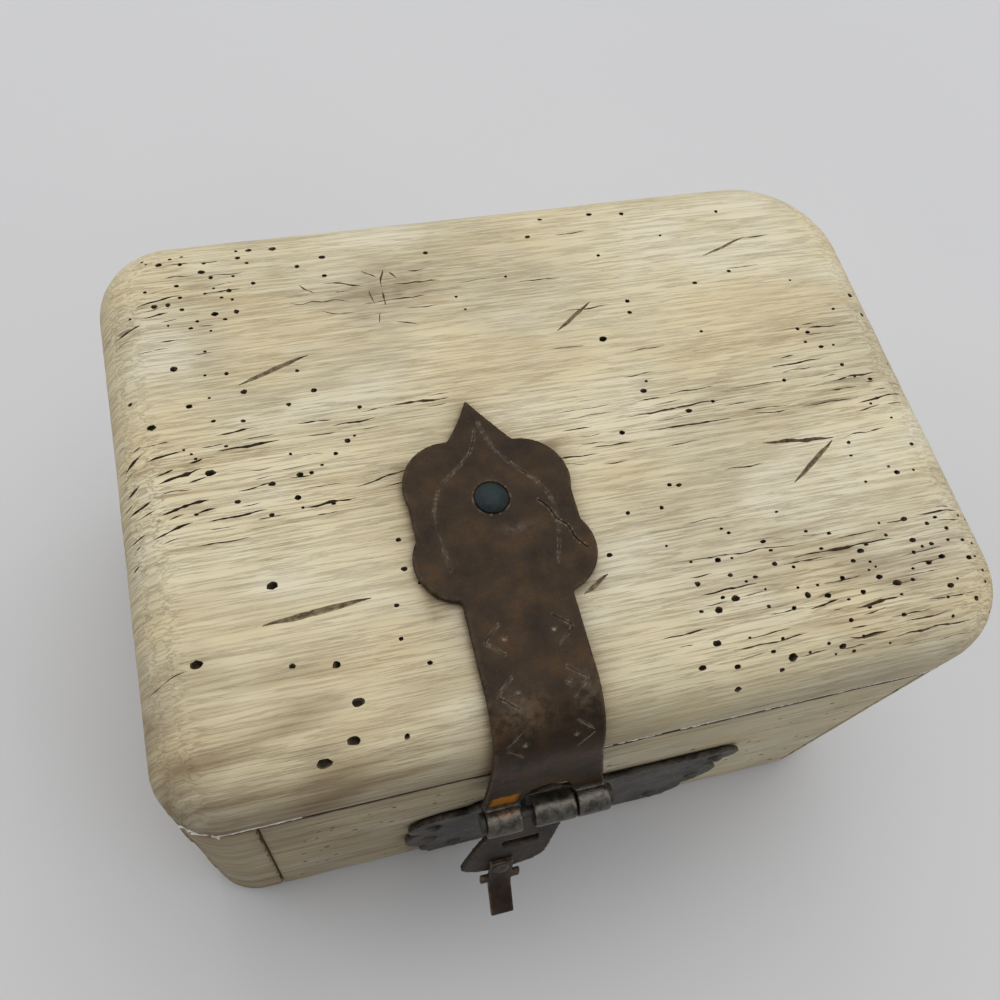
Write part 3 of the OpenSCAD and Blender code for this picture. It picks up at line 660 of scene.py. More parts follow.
def cracks(rng, ground, lines, patches=(), wobble=0.4, bundle=0, room=0.8, rough=0.9):
    """Chosen splits (u0, v0, u1, v1, width, depth), each with finer ones beside it, and scattered ones
    (u0, u1, v0, v1, count, length). No two of them cross."""
    work = bmesh.new()
    taken = set()
    for u0, v0, u1, v1, width, depth in lines:
        if fits(taken, (u0, v0), (u1, v1), room):
            crack(work, rng, ground, (u0, v0), (u1, v1), width, depth, wobble, rough)
    for u0, v0, u1, v1, width, depth in lines:
        for _ in range(bundle):
            t = rng.uniform(-0.25, 0.75)
            reach = rng.uniform(0.3, 0.65)
            off = rng.choice((-1, 1)) * rng.uniform(1.0, 2.4)
            first = (u0 + (u1 - u0) * t, v0 + (v1 - v0) * t + off)
            last = (first[0] + (u1 - u0) * reach, first[1] + (v1 - v0) * reach)
            if fits(taken, first, last, room):
                crack(work, rng, ground, first, last, width * rng.uniform(0.3, 0.6), depth * 0.6, wobble)
    for u0, u1, v0, v1, count, length in patches:
        for _ in range(count):
            u = rng.uniform(u0, u1)
            v = rng.uniform(v0, v1)
            run = length * rng.uniform(0.4, 1.3)
            last = (u + run, v + rng.uniform(-0.02, 0.04) * run)
            if fits(taken, (u, v), last, room):
                crack(work, rng, ground, (u, v), last, rng.uniform(0.16, 0.4), rng.uniform(0.4, 0.8), wobble)
    return joined(work)


def hand_worn(place, along):
    """Depth of hand wear in mm: slow hollows, shorter dents, and raised grain along one axis."""
    slow = wave(place / 42.0)
    dent = wave(place / 11.0 + Vector((7, 3, 5)))
    grain_place = place / 1.9
    grain_place[along] /= 14.0
    ridge = wave(grain_place)
    return 0.28 * slow + 0.16 * dent + 0.13 * ridge


def frayed(place):
    """Depth of wear at the seam between lid and case, in mm."""
    return SEAM_WEAR * math.exp(-abs(place.z - SEAM_Z) / 0.8) * (0.75 + 0.6 * noise.noise(place / 5.0))


# Lid

LID_SEED = 11
LID_VOXEL = 1.0
# Single holes: (x, y, radius)
LID_SINGLE_HOLES = [
    (-62.4, -24.5, 0.75), (-53.3, -42.3, 0.65), (-50.9, -50.1, 0.75), (-52.8, -56.7, 0.8),
    (-58.6, -59.3, 0.85), (-77.9, -37.1, 0.8), (18.1, 20.1, 0.7), (21.4, -18.1, 0.4), (26.9, 29.3, 0.45),
    (15.1, -4.1, 0.5), (26.6, -45.2, 0.6), (22.3, -46.9, 0.65), (19.6, -53.4, 0.6), (22.3, -62.2, 0.6),
    (34.5, -59, 0.8), (41.8, -47.6, 0.6), (62, -48.9, 0.6), (69.6, -40.5, 0.55), (53.9, -49.3, 0.5),
    (73.4, -51.8, 0.55), (80.6, -46.6, 0.5), (-74.8, 27.2, 0.6), (-64.4, 24.3, 0.4), (-61.5, 19.3, 0.5),
    (-47.3, 17.3, 0.5), (-53, 14.7, 0.4), (-62.6, 12.4, 0.35), (-42.7, 4.1, 0.5), (-45.6, 1.6, 0.4),
    (-54.5, 3.1, 0.3), (-59.1, -3, 0.45), (-70.6, 1.6, 0.65), (-51.1, -1.9, 0.4), (-80.6, 14, 0.6),
    (-37, -19.7, 0.4), (-50.1, 56, 0.6), (-66.2, 51.5, 0.5), (-39.7, 51.8, 0.45), (-16.3, 49.7, 0.4),
    (8.6, 51, 0.4), (13, 56, 0.4), (-37.2, -26, 0.45), (-34.6, -29.4, 0.4), (-36.4, -45.5, 0.4),
]
# Patches of scattered holes: (x from, to, y from, to, count)
LID_HOLE_PATCHES = [
    (-84, -54, 38, 57, 36), (-60, -36, 45, 57, 8), (-78, -38, -12, 24, 17), (-86, -66, 4, 40, 8),
    (14, 84, -61, -34, 66), (56, 86, -56, -36, 28), (0, 50, -34, -4, 8), (20, 84, -4, 30, 13),
    (-20, 60, 30, 56, 10), (-80, -20, -60, -24, 5), (64, 86, -30, 16, 16),
]
# Splits along the grain: (x, y, end x, end y, width, depth), dark where they start left of DARK_SPLITS_TO
DARK_SPLITS_TO = -40
LID_CRACKS = [
    (-68.5, 6.3, -56.1, 6.7, 0.7, 0.9), (-80.7, 0.9, -72.2, 3, 0.8, 1.2),
    (-80.7, -5.7, -71.5, -4.2, 0.9, 1.4), (-72.1, -9, -60.9, -8.5, 0.55, 0.9),
    (-82.7, -10.5, -75.1, -8.4, 0.7, 1.1), (-82.5, 6.5, -74.8, 7.8, 0.5, 0.9),
    (-87.2, 6.6, -82.7, 8.7, 0.7, 1.1), (-87.4, 0.6, -84.1, 2.1, 0.7, 1.1),
    (-87.4, -3.5, -82.5, -2.3, 0.7, 1.1), (-87.1, -12.9, -83.9, -11.5, 0.8, 1.1),
    (-87.2, -9.4, -84.4, -8.6, 0.6, 1), (-45.2, 8, -36, 8.6, 0.45, 0.8),
    (-32.4, 10.9, -19.8, 10.8, 0.6, 0.9), (-54.1, -9.4, -43.3, -9, 0.6, 0.9),
    (-68.5, 9.8, -60.1, 10.5, 0.45, 0.8), (-80.4, 44.3, -71.2, 46.1, 0.5, 0.9),
    (-86.1, 37.6, -80.1, 39.3, 0.6, 1), (-79.5, 40.9, -74.3, 41.7, 0.45, 0.8),
    (-65.8, -3.4, -58.8, -2.8, 0.4, 0.7), (-42.8, -6.7, -31.3, -4.5, 0.4, 0.7),
    (17.2, -0.6, 40, 0.2, 0.5, 0.8), (38, 0.4, 65.1, 0.8, 0.6, 0.9), (21.1, -4.7, 40.4, -4.9, 0.5, 0.8),
    (7.5, -6.6, 17.8, -6.7, 0.5, 0.8), (-2.4, -7.5, 8.5, -8.4, 0.4, 0.7), (67.5, 15.1, 75.3, 15.2, 0.5, 0.8),
    (54.7, 6.3, 67.6, 6.7, 0.5, 0.8), (17, -35.3, 46, -36.6, 0.3, 0.6), (42, -39.2, 65.6, -39.1, 0.6, 0.9),
    (73, -35.1, 83.6, -35.4, 0.5, 0.8), (51.1, -52.3, 60.9, -51.7, 0.8, 1.1),
    (47.6, -57.9, 56.3, -58.1, 0.7, 1), (41.4, -50.8, 48.1, -49.6, 0.45, 0.8),
    (58, -59.3, 75.5, -59.2, 0.6, 0.9), (19.2, -43.3, 32.3, -42.9, 0.5, 0.8),
    (9, -50.4, 18.6, -50.1, 0.4, 0.7), (22.5, -55.6, 38.8, -55.2, 0.4, 0.7), (67.3, 0.5, 79.3, 1, 0.45, 0.8),
    (71.3, -6.4, 83.8, -4.8, 0.55, 0.9), (-88, -40.2, -79.6, -37.8, 0.25, 0.6),
]
# Patches of scattered splits: (x from, to, y from, to, count, length)
LID_DARK_SPLITS = [(-86, -50, -14, 12, 30, 8), (-86, -62, 30, 56, 20, 7)]
LID_PALE_SPLITS = [(-40, 70, -58, 56, 24, 9), (14, 74, -60, -34, 46, 10), (0, 70, -8, 4, 16, 12)]
# Dents that cross the grain, cleaner and wider than the splits
LID_SCRATCHES = [
    (-62.4, 21.1, -47.1, 26.2, 1.3, 0.6), (8.3, 23.8, 18.1, 30.5, 1.1, 0.7),
    (49.6, 39.4, 62, 43.7, 0.8, 0.3), (61.6, -14.2, 48.9, -22.8, 1.3, 0.8),
    (-65.4, -32.2, -44.6, -30.6, 1.6, 0.9), (-3.6, -38.2, 2.4, -35, 1.2, 0.9),
]
CROSSING_SCRATCH = [(45.3, -12.2, 62.3, -13.7, 1.1, 0.9)]
BARK_RIFTS = [
    (-27.3, 46.4, -27.9, 41.6, 0.5, 0.6), (-28.2, 40.4, -28, 36.6, 0.6, 0.6),
    (-28, 35.4, -28.8, 30.8, 0.45, 0.5), (-31.6, 46.8, -29, 44.4, 0.4, 0.4),
    (-40.5, 44.6, -31.6, 43, 0.45, 0.5), (-48.6, 40.1, -36, 39.1, 0.4, 0.4),
    (-25.4, 42.2, -14.7, 41.6, 0.5, 0.4), (-26.4, 38.4, -19, 37.8, 0.35, 0.4),
    (-26.8, 32, -22, 30.6, 0.35, 0.4), (-46, 44.8, -43, 42.4, 0.5, 0.5), (-33.4, 42, -33.6, 38.6, 0.35, 0.4),
    (-25.8, 45.6, -24.2, 43.6, 0.4, 0.4), (-30.4, 41.2, -30.8, 37.2, 0.35, 0.4),
    (-29.8, 34.8, -30.6, 32.2, 0.3, 0.4), (-38.6, 41.8, -35, 41.2, 0.35, 0.4),
    (-23.8, 35.2, -17, 34.9, 0.3, 0.3), (-22.6, 45.6, -16.8, 45.4, 0.3, 0.3),
    (-42.2, 37, -35.4, 36.2, 0.3, 0.3),
]
# Places where the wash has dried out and split: (x, y, reach along the grain, reach across it, strength)
LID_DRY = [
    (-66, -1, 30, 13, 0.9), (-84, -4, 10, 16, 0.9), (-74, 46, 18, 13, 0.75), (-86, 30, 6, 25, 0.5),
    (52, -48, 38, 16, 0.95), (84, -45, 8, 15, 0.6), (40, -2, 48, 7, 0.7), (76, 6, 14, 16, 0.6),
    (50, 12, 42, 9, 0.4), (-84, -56, 14, 10, 0.6), (-20, 60, 70, 4, 0.6), (-28, 42, 15, 7, 0.5),
    (-30, 10, 18, 4, 0.6), (20, -22, 22, 14, 0.3), (10, 44, 50, 12, 0.2), (-84, -36, 7, 14, 0.5),
    (-40, -62, 50, 4, 0.5), (40, -64, 45, 3, 0.3),
]


def near_strap(place):
    """Distance in mm from the iron strap, seen from above."""
    across = abs(place.x - STRAP_MIDDLE)
    back = place.y + HALF_D
    half = STRAP_HALF
    if back >= SHOULDER_BACK:
        half = max(0.0, (TIP_BACK - back) * 0.6)
    elif back >= NECK_BACK:
        half = FINIAL_HALF
    over = max(0.0, across - half)
    beyond = max(0.0, back - TIP_BACK)
    return math.hypot(over, beyond)


def lid_grime_and_shade(place, normal):
    """Brown grime round the strap, on the edges and in dry places; painted shade along the seam, over the
    front left and on the lower sides.
    """
    ragged = wave(place / 3.0)
    patchy = wave(place / 15.0)
    away = near_strap(place)
    grime_and_shade = 0.6 * math.exp(-away / 1.3) * (0.5 + 0.5 * ragged) + 0.3 * math.exp(-away / 6.0) * patchy
    edge = max(abs(place.x) - HALF_W + 8.0, abs(place.y) - HALF_D + 7.0, 0.0) / 8.0
    grime_and_shade += 0.24 * edge * patchy
    corner = math.exp(-math.dist((place.x, place.y), (-82, -58)) / 16.0)
    grime_and_shade += 0.5 * corner * (0.4 + 0.6 * ragged)
    bark = blob(place, -28, 41, 12.0, 5.5)
    grime_and_shade += 0.85 * bark * ragged
    smudge = blob(place, -79, -37, 6.0, 3.0)
    grime_and_shade += 0.6 * smudge * ragged
    streaky = max(0.0, 0.3 + 1.1 * noise.noise(Vector((place.x / 16.0, place.y / 2.2, place.z / 6.0))))
    weathered = blob(place, 56, -44, 30.0, 13.0)
    grime_and_shade += 0.55 * weathered * streaky
    # Painted shade over the front left of the top, away from the light
    front_left_shade = blob(place, -62, -56, 34.0, 18.0)
    grime_and_shade += 0.65 * front_left_shade * (0.4 * patchy + 0.9 * streaky)
    # Grime and painted shade along the seam at the lid's lower edge
    seam = math.exp(-max(0.0, place.z - SEAM_Z) / 0.7)
    grime_and_shade += 0.75 * seam
    # Painted shade on the lid's lower sides, strongest at the front left
    low = clamp((SEAM_Z + 14 - place.z) / 10.0)
    left = clamp((10.0 - place.x) / 60.0) if place.y < -40 else 0.0
    grime_and_shade += (0.14 * patchy + 0.34 * left * (0.5 + 0.5 * ragged)) * low
    return min(1.0, grime_and_shade)


def lid_dry(place, normal):
    left = 1.0
    for x, y, along, across, strength in LID_DRY:
        left *= 1.0 - strength * blob(place, x, y, along, across)
    return (1.0 - left) * (0.75 + 0.5 * noise.noise(place / 12.0))


def lid_raw(place, normal):
    return 1.0 if normal.z < -0.7 and place.z < SEAM_Z + 0.6 else 0.0


def lid_shift(place, normal):
    if normal.z < -0.6:
        return Vector()
    flat = Vector((normal.x, normal.y, 0))
    if place.z < SEAM_Z + 3.0 and flat.length > 0.3:
        return -flat.normalized() * (0.8 * hand_worn(place, 0) + frayed(place))
    return -normal * hand_worn(place, 0)


def make_lid():
    rng = random.Random(LID_SEED)
    lid = even_copy("lid_board", "lid_wood", LID_VOXEL, WOOD_LID)
    wear(lid, lid_shift)
    top = Ground(lid, (0, 0, -1))
    cut(lid, worm_holes(rng, top, 0, LID_HOLE_PATCHES, LID_SINGLE_HOLES), HOLE_WOOD)
    dark = [line for line in LID_CRACKS if line[0] < DARK_SPLITS_TO]
    pale = [line for line in LID_CRACKS if line[0] >= DARK_SPLITS_TO]
    cut(lid, cracks(rng, top, dark, LID_DARK_SPLITS, bundle=4), HOLE_WOOD)
    cut(lid, cracks(rng, top, pale, LID_PALE_SPLITS, bundle=4), SPLIT_WOOD)
    cut(lid, cracks(rng, top, BARK_RIFTS, wobble=1.0), SPLIT_WOOD)
    cut(lid, cracks(rng, top, LID_SCRATCHES, wobble=0.2, rough=0.15), DENT_WOOD)
    cut(lid, cracks(rng, top, CROSSING_SCRATCH, rough=0.4), SPLIT_WOOD)
    smooth(lid)
    paint(lid, "grime_and_shade", lid_grime_and_shade)
    paint(lid, "dry", lid_dry)
    paint(lid, "raw", lid_raw)
    stand_in(lid, "lid", "lid_board")


# Case boards

JOINT_X = 73.0
JOINT_SEED = 40
# Stretches of an open joint: (from z, to z, width)
JOINT_SPLITS = ((3, 40, 0.3), (43, 68, 0.4), (71, 90.6, 0.5))
BOARD_VOXEL = 1.2
# Inward direction, material, grain axis and seed of each board
BOARDS = {
    "front_board": ((0, 1, 0), WOOD_FRONT, 0, 21),
    "back_board": ((0, -1, 0), WOOD_BACK, 0, 22),
    "left_board": ((1, 0, 0), WOOD_LEFT, 1, 23),
    "right_board": ((-1, 0, 0), WOOD_RIGHT, 1, 24),
}


def board_grime_and_shade(place, normal):
    """Brown grime in the joints, round the lock plate and in patches; painted shade under the seam and over
    the front left; darker towards the foot.
    """
    ragged = wave(place / 3.0)
    patchy = wave(place / 16.0)
    below = max(0.0, SEAM_Z - place.z)
    # Painted shade just under the lid's edge, fading in patches further down
    grime_and_shade = 0.7 * math.exp(-below / 0.9) + 0.2 * math.exp(-below / 6.0) * patchy
    # Darker towards the foot
    grime_and_shade += 0.4 * math.exp(-place.z / 5.0) * patchy
    if abs(place.y) > HALF_D - 14:
        grime_and_shade += 0.5 * math.exp(-abs(abs(place.x) - JOINT_X) / 0.8) * ragged
    if place.y < 14 - HALF_D:
        plate = math.hypot(max(0.0, abs(place.x + 1) - 38), max(0.0, place.z - 59))
        grime_and_shade += 0.45 * math.exp(-plate / 3.0) * (0.4 + 0.6 * ragged)
        patchy *= max(0.3, min(1.0, (60.0 - place.x) / 40.0))
    # Painted shade over the front left, away from the light
    front = clamp((-20.0 - place.y) / 40.0)
    grime_and_shade += 0.5 * front * clamp((20.0 - place.x) / 90.0)
    grime_and_shade += 0.22 * patchy
    return min(1.0, grime_and_shade)


def board_dry(place, normal):
    return clamp(0.4 + 0.7 * noise.noise(place / 20.0))


def board_raw(inward):
    def raw(place, normal):
        facing_in = normal.dot(Vector(inward)) > 0.7
        return 1.0 if facing_in or normal.z < -0.7 else 0.0
    return raw


def board_shift(along):
    """Wear of the outer faces alone. Flat faces go straight in, so that the joints stay closed."""
    def shift(place, normal):
        flat = Vector((normal.x, normal.y, 0))
        away = None
        if abs(place.y) > HALF_D - 1.5 and abs(place.x) < HALF_W - 12:
            side = math.copysign(1, place.y)
            if normal.y * side > 0.3:
                away = Vector((0, side, 0))
        elif along == 1 and flat.x * place.x / HALF_W + flat.y * place.y / HALF_D > 0.35:
            if max(abs(place.x) / HALF_W, abs(place.y) / HALF_D) > 0.85:
                away = flat.normalized()
        if away is None:
            return Vector()
        return -away * (0.8 * hand_worn(place, along) + frayed(place))
    return shift


class Flat:
    """Front or back face of the case, for cuts that cross two boards."""

    def __init__(self, side):
        self.side = side

    def spot(self, u, v):
        return Vector((u, self.side * (HALF_D - 0.25), v)), Vector((0, self.side, 0))


def joint_splits(rng, side):
    work = bmesh.new()
    for x in (-JOINT_X, JOINT_X):
        for low, high, width in JOINT_SPLITS:
            crack(work, rng, Flat(side), (x, high), (x, low), width, 0.8, 0.5)
    return joined(work)


def make_boards():
    for node, (inward, material, along, seed) in BOARDS.items():
        rng = random.Random(seed)
        board = even_copy(node, node.replace("board", "wood"), BOARD_VOXEL, material)
        wear(board, board_shift(along))
        outside = Ground(board, inward)
        reach = HALF_W - 22 if along == 0 else HALF_D - 8
        holes = [(-reach, reach, 6, 84, 40), (-reach, -reach / 3, 40, 84, 18), (reach / 4, reach, 20, 80, 16)]
        cut(board, worm_holes(rng, outside, along, holes), HOLE_WOOD)
        splits = [(-reach, reach - 20, 8, 86, 60, 12), (-reach, -reach / 4, 30, 86, 16, 16)]
        cut(board, cracks(rng, outside, [], splits), SPLIT_WOOD)
        for side in (-1, 1):
            if along == 1 or inward[1] == -side:
                cut(board, joint_splits(random.Random(JOINT_SEED + side), side), HOLE_WOOD)
        smooth(board)
        paint(board, "grime_and_shade", board_grime_and_shade)
        paint(board, "dry", board_dry)
        paint(board, "raw", board_raw(inward))
        stand_in(board, "case", node)


# Iron pieces

STRAP_VOXEL = 0.42
STRAP_BLOWS = 0.1
IRON_EDGE = 50
RUB_SPREAD = 0.5
RUB_FROM = 0.12
# Node, body, slot, material, mesh size and depth of the hammer marks of each plain piece
IRON_PIECES = (
    ("lock_plate", "case", "grey_iron", GREY_IRON, 0.55, 0.16),
    ("hasp_tongue", "hasp", "grey_iron", TONGUE_IRON, 0.42, 0.12),
    ("pull_tab", "hasp", "rust_iron", RUST_IRON, 0.32, 0.1),
)


def hammered(amount):
    """Shallow hammer marks, amount mm deep at most."""
    def shift(place, normal):
        blow = wave(place / 5.5)
        small = wave(place / 1.8 + Vector((3, 9, 1)))
        return -normal * amount * (0.7 * blow + 0.3 * small)
    return shift


def rub(item, extra=None):
    """Light wear at the edges of a thin piece, from how its surface turns, plus what extra adds, which on the
    strap is a painted highlight at the bend and a polished patch.
    """
    mesh = item.data
    normals = normals_of(mesh)
    turn = [0.0] * len(mesh.vertices)
    count = [0] * len(mesh.vertices)
    for edge in mesh.edges:
        a, b = edge.vertices
        span = mesh.vertices[b].co - mesh.vertices[a].co
        bulge = (normals[b] - normals[a]).dot(span) / max(span.length_squared, 1e-12)
        for v in (a, b):
            turn[v] += bulge
            count[v] += 1
    values = [clamp(t / max(c, 1) * RUB_SPREAD * MM - RUB_FROM) for t, c in zip(turn, count)]
    if extra:
        values = [min(1.0, value + more) for value, more in zip(values, measured(mesh, extra))]
    keep(mesh, "rubbed_and_glint", values)


def on_strap(x, s):
    """Place in mm and normal on the strap's outer face: x across, s along, 0 where the bend starts."""
    arc = (math.pi / 2 - LEG_FLARE) * BEND_R
    angle = min(max(s / BEND_R, 0.0), math.pi / 2 - LEG_FLARE)
    normal = Vector((0, -math.sin(angle), math.cos(angle)))
    down = Vector((0, -math.cos(angle), -math.sin(angle)))
    place = Vector((STRAP_MIDDLE + x, BEND_CENTRE_Y, BEND_CENTRE_Z)) + normal * BEND_R
    straight = min(s, 0.0) + max(s - arc, 0.0)
    return place + down * straight, normal


def scribed(work, points, width, depth):
    """V groove along points (x, s) of the strap's face."""
    rings = []
    for i, point in enumerate(points):
        place, normal = on_strap(*point)
        before = on_strap(*points[max(i - 1, 0)])[0]
        after = on_strap(*points[min(i + 1, len(points) - 1)])[0]
        across = normal.cross(after - before).normalized()
        rings.append(groove_ring(place, normal, across, width / 2, depth, SCRIBE_LIFT))
    lofted(work, rings)


def curved(points, steps=6):
    """Smooth line through points (Catmull-Rom)."""
    ends = [points[0], *points, points[-1]]
    line = []
    for p0, p1, p2, p3 in zip(ends, ends[1:], ends[2:], ends[3:]):
        for i in range(steps):
            t = i / steps
            line.append(tuple(
                0.5 * (2 * b + (c - a) * t + (2 * a - 5 * b + 4 * c - d) * t ** 2
                       + (3 * b - a - 3 * c + d) * t ** 3)
                for a, b, c, d in zip(p0, p1, p2, p3)
            ))
    line.append(points[-1])
    return line


# Scribed ornament: (x, distance from the lid's front) on the finial, and the place s of each chevron row
OGEE_RIGHT = [
    (1.4, 68), (1.9, 65), (3.6, 60.2), (6.6, 56.1), (10.2, 51.9), (12.2, 46.5), (11.3, 39.3), (9.5, 33.7),
]
OGEE_LEFT = [
    (0.6, 66.8), (-1.8, 61.2), (-5.8, 57.4), (-9.6, 54.4), (-12, 49.4), (-12.2, 44), (-11.7, 36),
]
CREASE = [(9.2, 47.9), (10.9, 45.9), (11.9, 43.1), (13.7, 41.2), (14.6, 38.2), (16.5, 35.7)]
CHEVRON_ROWS = [-9.0, 1.5, 12.0]
CHEVRON_APEX = 9.0
CHEVRON_FOOT = 5.4
CHEVRON_RISE = 3.0
CHEVRON_GAP = 0.08
DOT_X = 5.0
SCRIBE_WIDTH = 0.3
SCRIBE_DEPTH = 0.27
SCRIBE_LIFT = 0.4
CREASE_WIDTH = 0.34
CREASE_DEPTH = 0.26
RIVET_Y = -15.0
# Turned cuts in the strap: (height, radius) from above the surface to the bottom
DOT_RINGS = ((0.4, 0.5), (-0.12, 0.4), (-0.3, 0.15))
SEAT_RINGS = ((0.5, 3.95), (0.0, 3.8), (-0.3, 3.5))


def ornament():
    work = bmesh.new()
    for line in (OGEE_RIGHT, OGEE_LEFT):
        scribed(work, [(x, BEND_BACK - back) for x, back in curved(line)], SCRIBE_WIDTH, SCRIBE_DEPTH)
    for row in CHEVRON_ROWS:
        for side in (-1, 1):
            apex = (side * CHEVRON_APEX, row)
            for rise in (-CHEVRON_RISE, CHEVRON_RISE):
                end = (side * CHEVRON_FOOT, row + rise)
                shy = between(apex, end, CHEVRON_GAP)
                line = [shy, between(shy, end, 0.5), end]
                scribed(work, curved(line, 4), SCRIBE_WIDTH, SCRIBE_DEPTH)
    return joined(work)


def round_cut(work, place, normal, rings, corners):
    turned(work, place, normal, normal.orthogonal().normalized(), rings, [1.0] * corners)


def punched_dots():
    work = bmesh.new()
    for row in CHEVRON_ROWS:
        for side in (-1, 1):
            round_cut(work, *on_strap(side * DOT_X, row), DOT_RINGS, SMALL_ROUND)
    return joined(work)


def rivet_seat():
    """Shallow round seat that the rivet's head was set in."""
    work = bmesh.new()
    place = Vector((STRAP_MIDDLE, RIVET_Y, STRAP_TOP))
    round_cut(work, place, Vector((0, 0, 1)), SEAT_RINGS, LARGE_ROUND)
    return joined(work)


def crease():
    work = bmesh.new()
    scribed(work, [(x, BEND_BACK - back) for x, back in curved(CREASE)], CREASE_WIDTH, CREASE_DEPTH)
    return joined(work)


# Middle and radius of the hasp's barrel
HASP_Y = -71.70
HASP_Z = 77.60
BARREL_R = 3.4


def rust_patch(place, normal):
    """Orange bloom at the foot of the strap's leg, above the left knuckle."""
    across = max(0.0, abs(place.x + 24.2) - 2.2)
    height = max(0.0, abs(place.z - 83.6) - 1.6)
    ragged = 0.6 * noise.noise(place / 1.1)
    return clamp(1.2 - 1.1 * math.hypot(across, height) + ragged) if place.y < -66 else 0.0


def knuckle_bare(place, normal):
    """Bare grey metal on the knuckles, fading out on what they are rolled from."""
    away = math.hypot(place.y - HASP_Y, place.z - HASP_Z) - BARREL_R
    return clamp(1.0 - away / 1.2)


def strap_rub_and_glint(place, normal):
    """Painted highlight: bright speckle on top of the bend, where the light glints; and a polished patch
    below the rivet.
    """
    # Painted highlight on the top of the bend, where the light glints
    above = 1 if place.z > BEND_CENTRE_Z + 0.3 else 0
    bend = blob(place, -22, -58.5, 4.5, 3.5) * above
    right = 0.6 * blob(place, -9, -57.5, 3.0, 3.5) * above
    patch = blob(place, -13.5, -22.5, 3.4, 1.2)
    speckle = wave(place / 0.8)
    return (0.6 * bend + 0.8 * right + 0.55 * patch) * (0.2 + 0.8 * speckle)


def make_strap():
    strap = even_copy("hasp_strap", "hasp_strap_iron", STRAP_VOXEL, BROWN_IRON)
    wear(strap, hammered(STRAP_BLOWS))
    cut(strap, ornament(), SCRIBED_IRON)
    cut(strap, punched_dots(), SCRIBED_IRON)
    cut(strap, rivet_seat(), PIT_IRON)
    cut(strap, crease(), PIT_IRON)
    smooth(strap, IRON_EDGE)
    rub(strap, strap_rub_and_glint)
    paint(strap, "rust", rust_patch)
    paint(strap, "bare", knuckle_bare)
    stand_in(strap, "lid", "hasp_strap")


def plate_rub(place, normal):
    """Pale scuff beside the barrel's left end."""
    scuff = math.exp(-((place.x + 33.0) / 2.6) ** 2 - ((place.z - 55.0) / 5.0) ** 2)
    return scuff * (0.5 + 0.9 * noise.noise(place / 1.3))


def make_iron():
    for node, body, slot, material, voxel, blows in IRON_PIECES:
        piece = even_copy(node, node + "_iron", voxel, material)
        wear(piece, hammered(blows))
        smooth(piece, IRON_EDGE)
        rub(piece, plate_rub if node == "lock_plate" else None)
        if node == "hasp_tongue":
            paint(piece, "bare", knuckle_bare)
        stand_in(piece, body, node)


# Paint chips along the seam

CHIP_SEED = 31
CHIPS = 190
# Stretches of the seam where chips lie, and the rim and the levels of a chip
CHIP_RUNS = ((-86, -64), (-4, 74), (20, 74), (20, 74))
CHIP_RIM = ((-0.5, 0), (-0.25, 0.5), (0.2, 0.35), (0.5, -0.1), (0.15, -0.5), (-0.3, -0.3))
CHIP_LEVELS = (-0.25, 0.13)


def make_chips():
    """Pale flakes where the wash has broken along the lid's lower edge."""
    rng = random.Random(CHIP_SEED)
    ground = Ground(bpy.data.objects["lid_wood"], (0, 1, 0))
    work = bmesh.new()
    for _ in range(CHIPS):
        x = rng.choice([rng.uniform(*run) for run in CHIP_RUNS])
        found = ground.spot(x, SEAM_Z + rng.uniform(0.3, 0.85))
        if found is None:
            continue
        place, normal = found
        side = Vector((0, 0, 1)).cross(normal).normalized()
        up = normal.cross(side)
        length = rng.uniform(0.9, 3.4)
        height = rng.uniform(0.35, 0.75)
        flat = [place + side * (a * length * rng.uniform(0.8, 1.2)) + up * (b * height) for a, b in CHIP_RIM]
        lofted(work, [[point + normal * level for point in flat] for level in CHIP_LEVELS])
    chips = new_object("seam_chips", joined(work))
    chips.data.materials.append(PAINT_FLAKE)
    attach(chips, "lid")


# Grime and painted shade in the seam

# Corner radii of the plan, from the front left one on
PLAN_RADII = (12.5, 19.0, 26.0, 17.0)
DIRT_STEP = 1.3
OUTSIDE_MM = 20


def plan_line(step_mm):
    """Points and outward directions round the box's plan, from the front left corner."""
    line = []
    corners = ((-1, -1), (1, -1), (1, 1), (-1, 1))
    for i, ((sx, sy), radius) in enumerate(zip(corners, PLAN_RADII)):
        middle = Vector((sx * (HALF_W - radius), sy * (HALF_D - radius), 0))
        first = math.pi * (1.0 + 0.5 * i)
        for k in range(9):
            turn = first + math.pi / 2 * k / 8
            away = Vector((math.cos(turn), math.sin(turn), 0))
            line.append((middle + away * radius, away))
        nx, ny = corners[(i + 1) % 4]
        after = PLAN_RADII[(i + 1) % 4]
        start = line[-1][0]
        way = Vector(((nx - sx) / 2, (ny - sy) / 2, 0))
        end = Vector((nx * (HALF_W - after), ny * (HALF_D - after), 0)) + line[-1][1] * after
        length = (end - start).dot(way)
        count = int(length / step_mm)
        for k in range(1, count):
            line.append((start + way * (length * k / count), line[-1][1]))
    line.append(line[0])
    return line


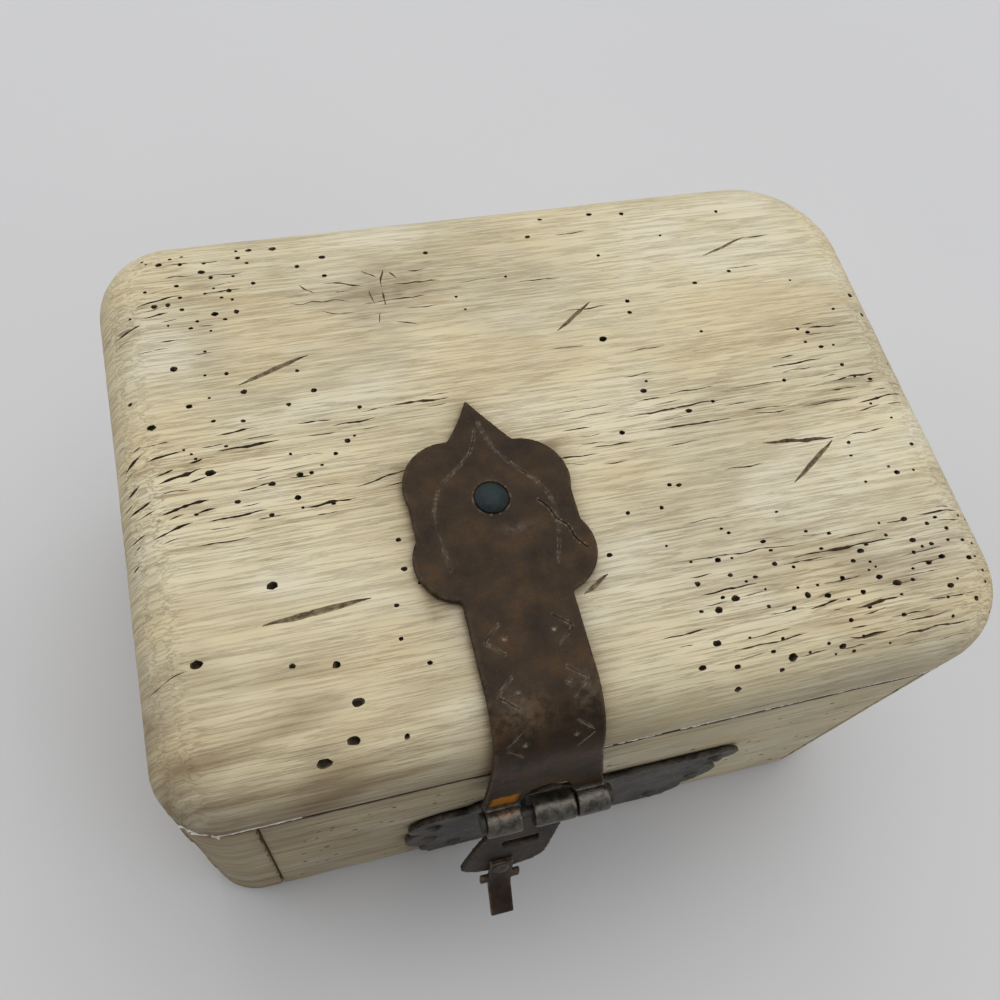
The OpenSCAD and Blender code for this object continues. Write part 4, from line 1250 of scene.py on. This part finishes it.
def make_seam_grime_and_shade():
    """Dark ragged line on the case's upper edge: packed grime and painted shade of the seam gap."""
    trees = [surface_of(bpy.data.objects[node.replace("board", "wood")]) for node in BOARDS]
    rings = []
    for point, away in plan_line(DIRT_STEP):
        level = Vector((0, 0, SEAM_Z - 1.0))
        start = point + away * OUTSIDE_MM + level
        hits = [tree.ray_cast(start * MM, -away) for tree in trees]
        found = [hit[0] / MM for hit in hits if hit[0] is not None]
        if not found:
            continue
        skin = min(found, key=lambda place: (place - start).length)
        ragged = noise.noise(point / 2.2)
        low = SEAM_Z - 1.25 + 0.55 * ragged
        high = SEAM_Z - 0.25
        corners = ((high, 0.1), (low, 0.1), (low, -0.6), (high, -1.6))
        rings.append([Vector((skin.x, skin.y, z)) + away * out for z, out in corners])
    work = bmesh.new()
    lofted(work, rings)
    dirt = new_object("seam_dirt", joined(work))
    dirt.data.materials.append(SEAM_GRIME_AND_SHADE)
    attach(dirt, "case")


make_lid()
make_boards()
make_seam_grime_and_shade()
make_strap()
make_iron()
make_chips()

# Materials of the CAD nodes that are shown as they are
CAD_LOOKS = {
    WOOD_BASE: ["base_board"],
    PEG_WOOD: ["corner_pegs"],
    DARK_IRON: ["strap_rivet"],
    NAIL_IRON: [
        "base_nails", "plate_nails", "staple", "rivet_washer", "tab_rivet",
        "hinge_pin_left", "hinge_pin_right",
    ],
    GREY_IRON: ["hinge_screws_lower", "hinge_screws_upper", "hasp_pin"] + [
        "hinge_leaf_%s_%s" % (row, side) for row in ("lower", "upper") for side in ("left", "right")
    ],
}
for material, names in CAD_LOOKS.items():
    for name in names:
        slots = frame["nodes"][name].data.materials
        for i in range(len(slots)):
            slots[i] = material


# Floor, light and backdrop

FLOOR_HALF = 1.3
AMBIENT = 0.27
BACKDROP = 0.58
BACKDROP_TINT = (0.98, 0.99, 1.0, 1.0)
# Name, place in m, width in m and power of each lamp
LAMPS = (
    ("softbox", (0.3, 0.45, 1.9), 2.2, 35.0),
    ("side_fill", (1.1, -0.9, 0.9), 1.0, 3.6),
    ("left_fill", (-1.2, 0.5, 0.8), 1.0, 4.5),
)


def make_stage():
    work = bmesh.new()
    bmesh.ops.create_grid(work, x_segments=8, y_segments=8, size=FLOOR_HALF)
    floor = new_object("floor", joined(work))
    floor.data.materials.append(floor_paper("floor_paper"))
    for name, place, width, power in LAMPS:
        light = bpy.data.lights.new(name, "AREA")
        light.shape = "SQUARE"
        light.size = width
        light.energy = power
        lamp = new_object(name, light)
        lamp.location = place
        lamp.rotation_euler = (-Vector(place)).to_track_quat("-Z", "Y").to_euler()


def make_world():
    """Even light from all round, with a paler backdrop for what is seen or reflected."""
    world = bpy.data.worlds.new("studio")
    bpy.context.scene.world = world
    nodes = Nodes(world)
    rays = nodes.add("LightPath").outputs
    seen = nodes.math("MAXIMUM", rays["Is Camera Ray"], rays["Is Glossy Ray"])
    background = nodes.tree.nodes["Background"].inputs
    background["Color"].default_value = BACKDROP_TINT
    nodes.put(background["Strength"], nodes.span(seen, 0.0, 1.0, AMBIENT, BACKDROP))


make_stage()
make_world()
bpy.context.scene.view_settings.view_transform = "Standard"
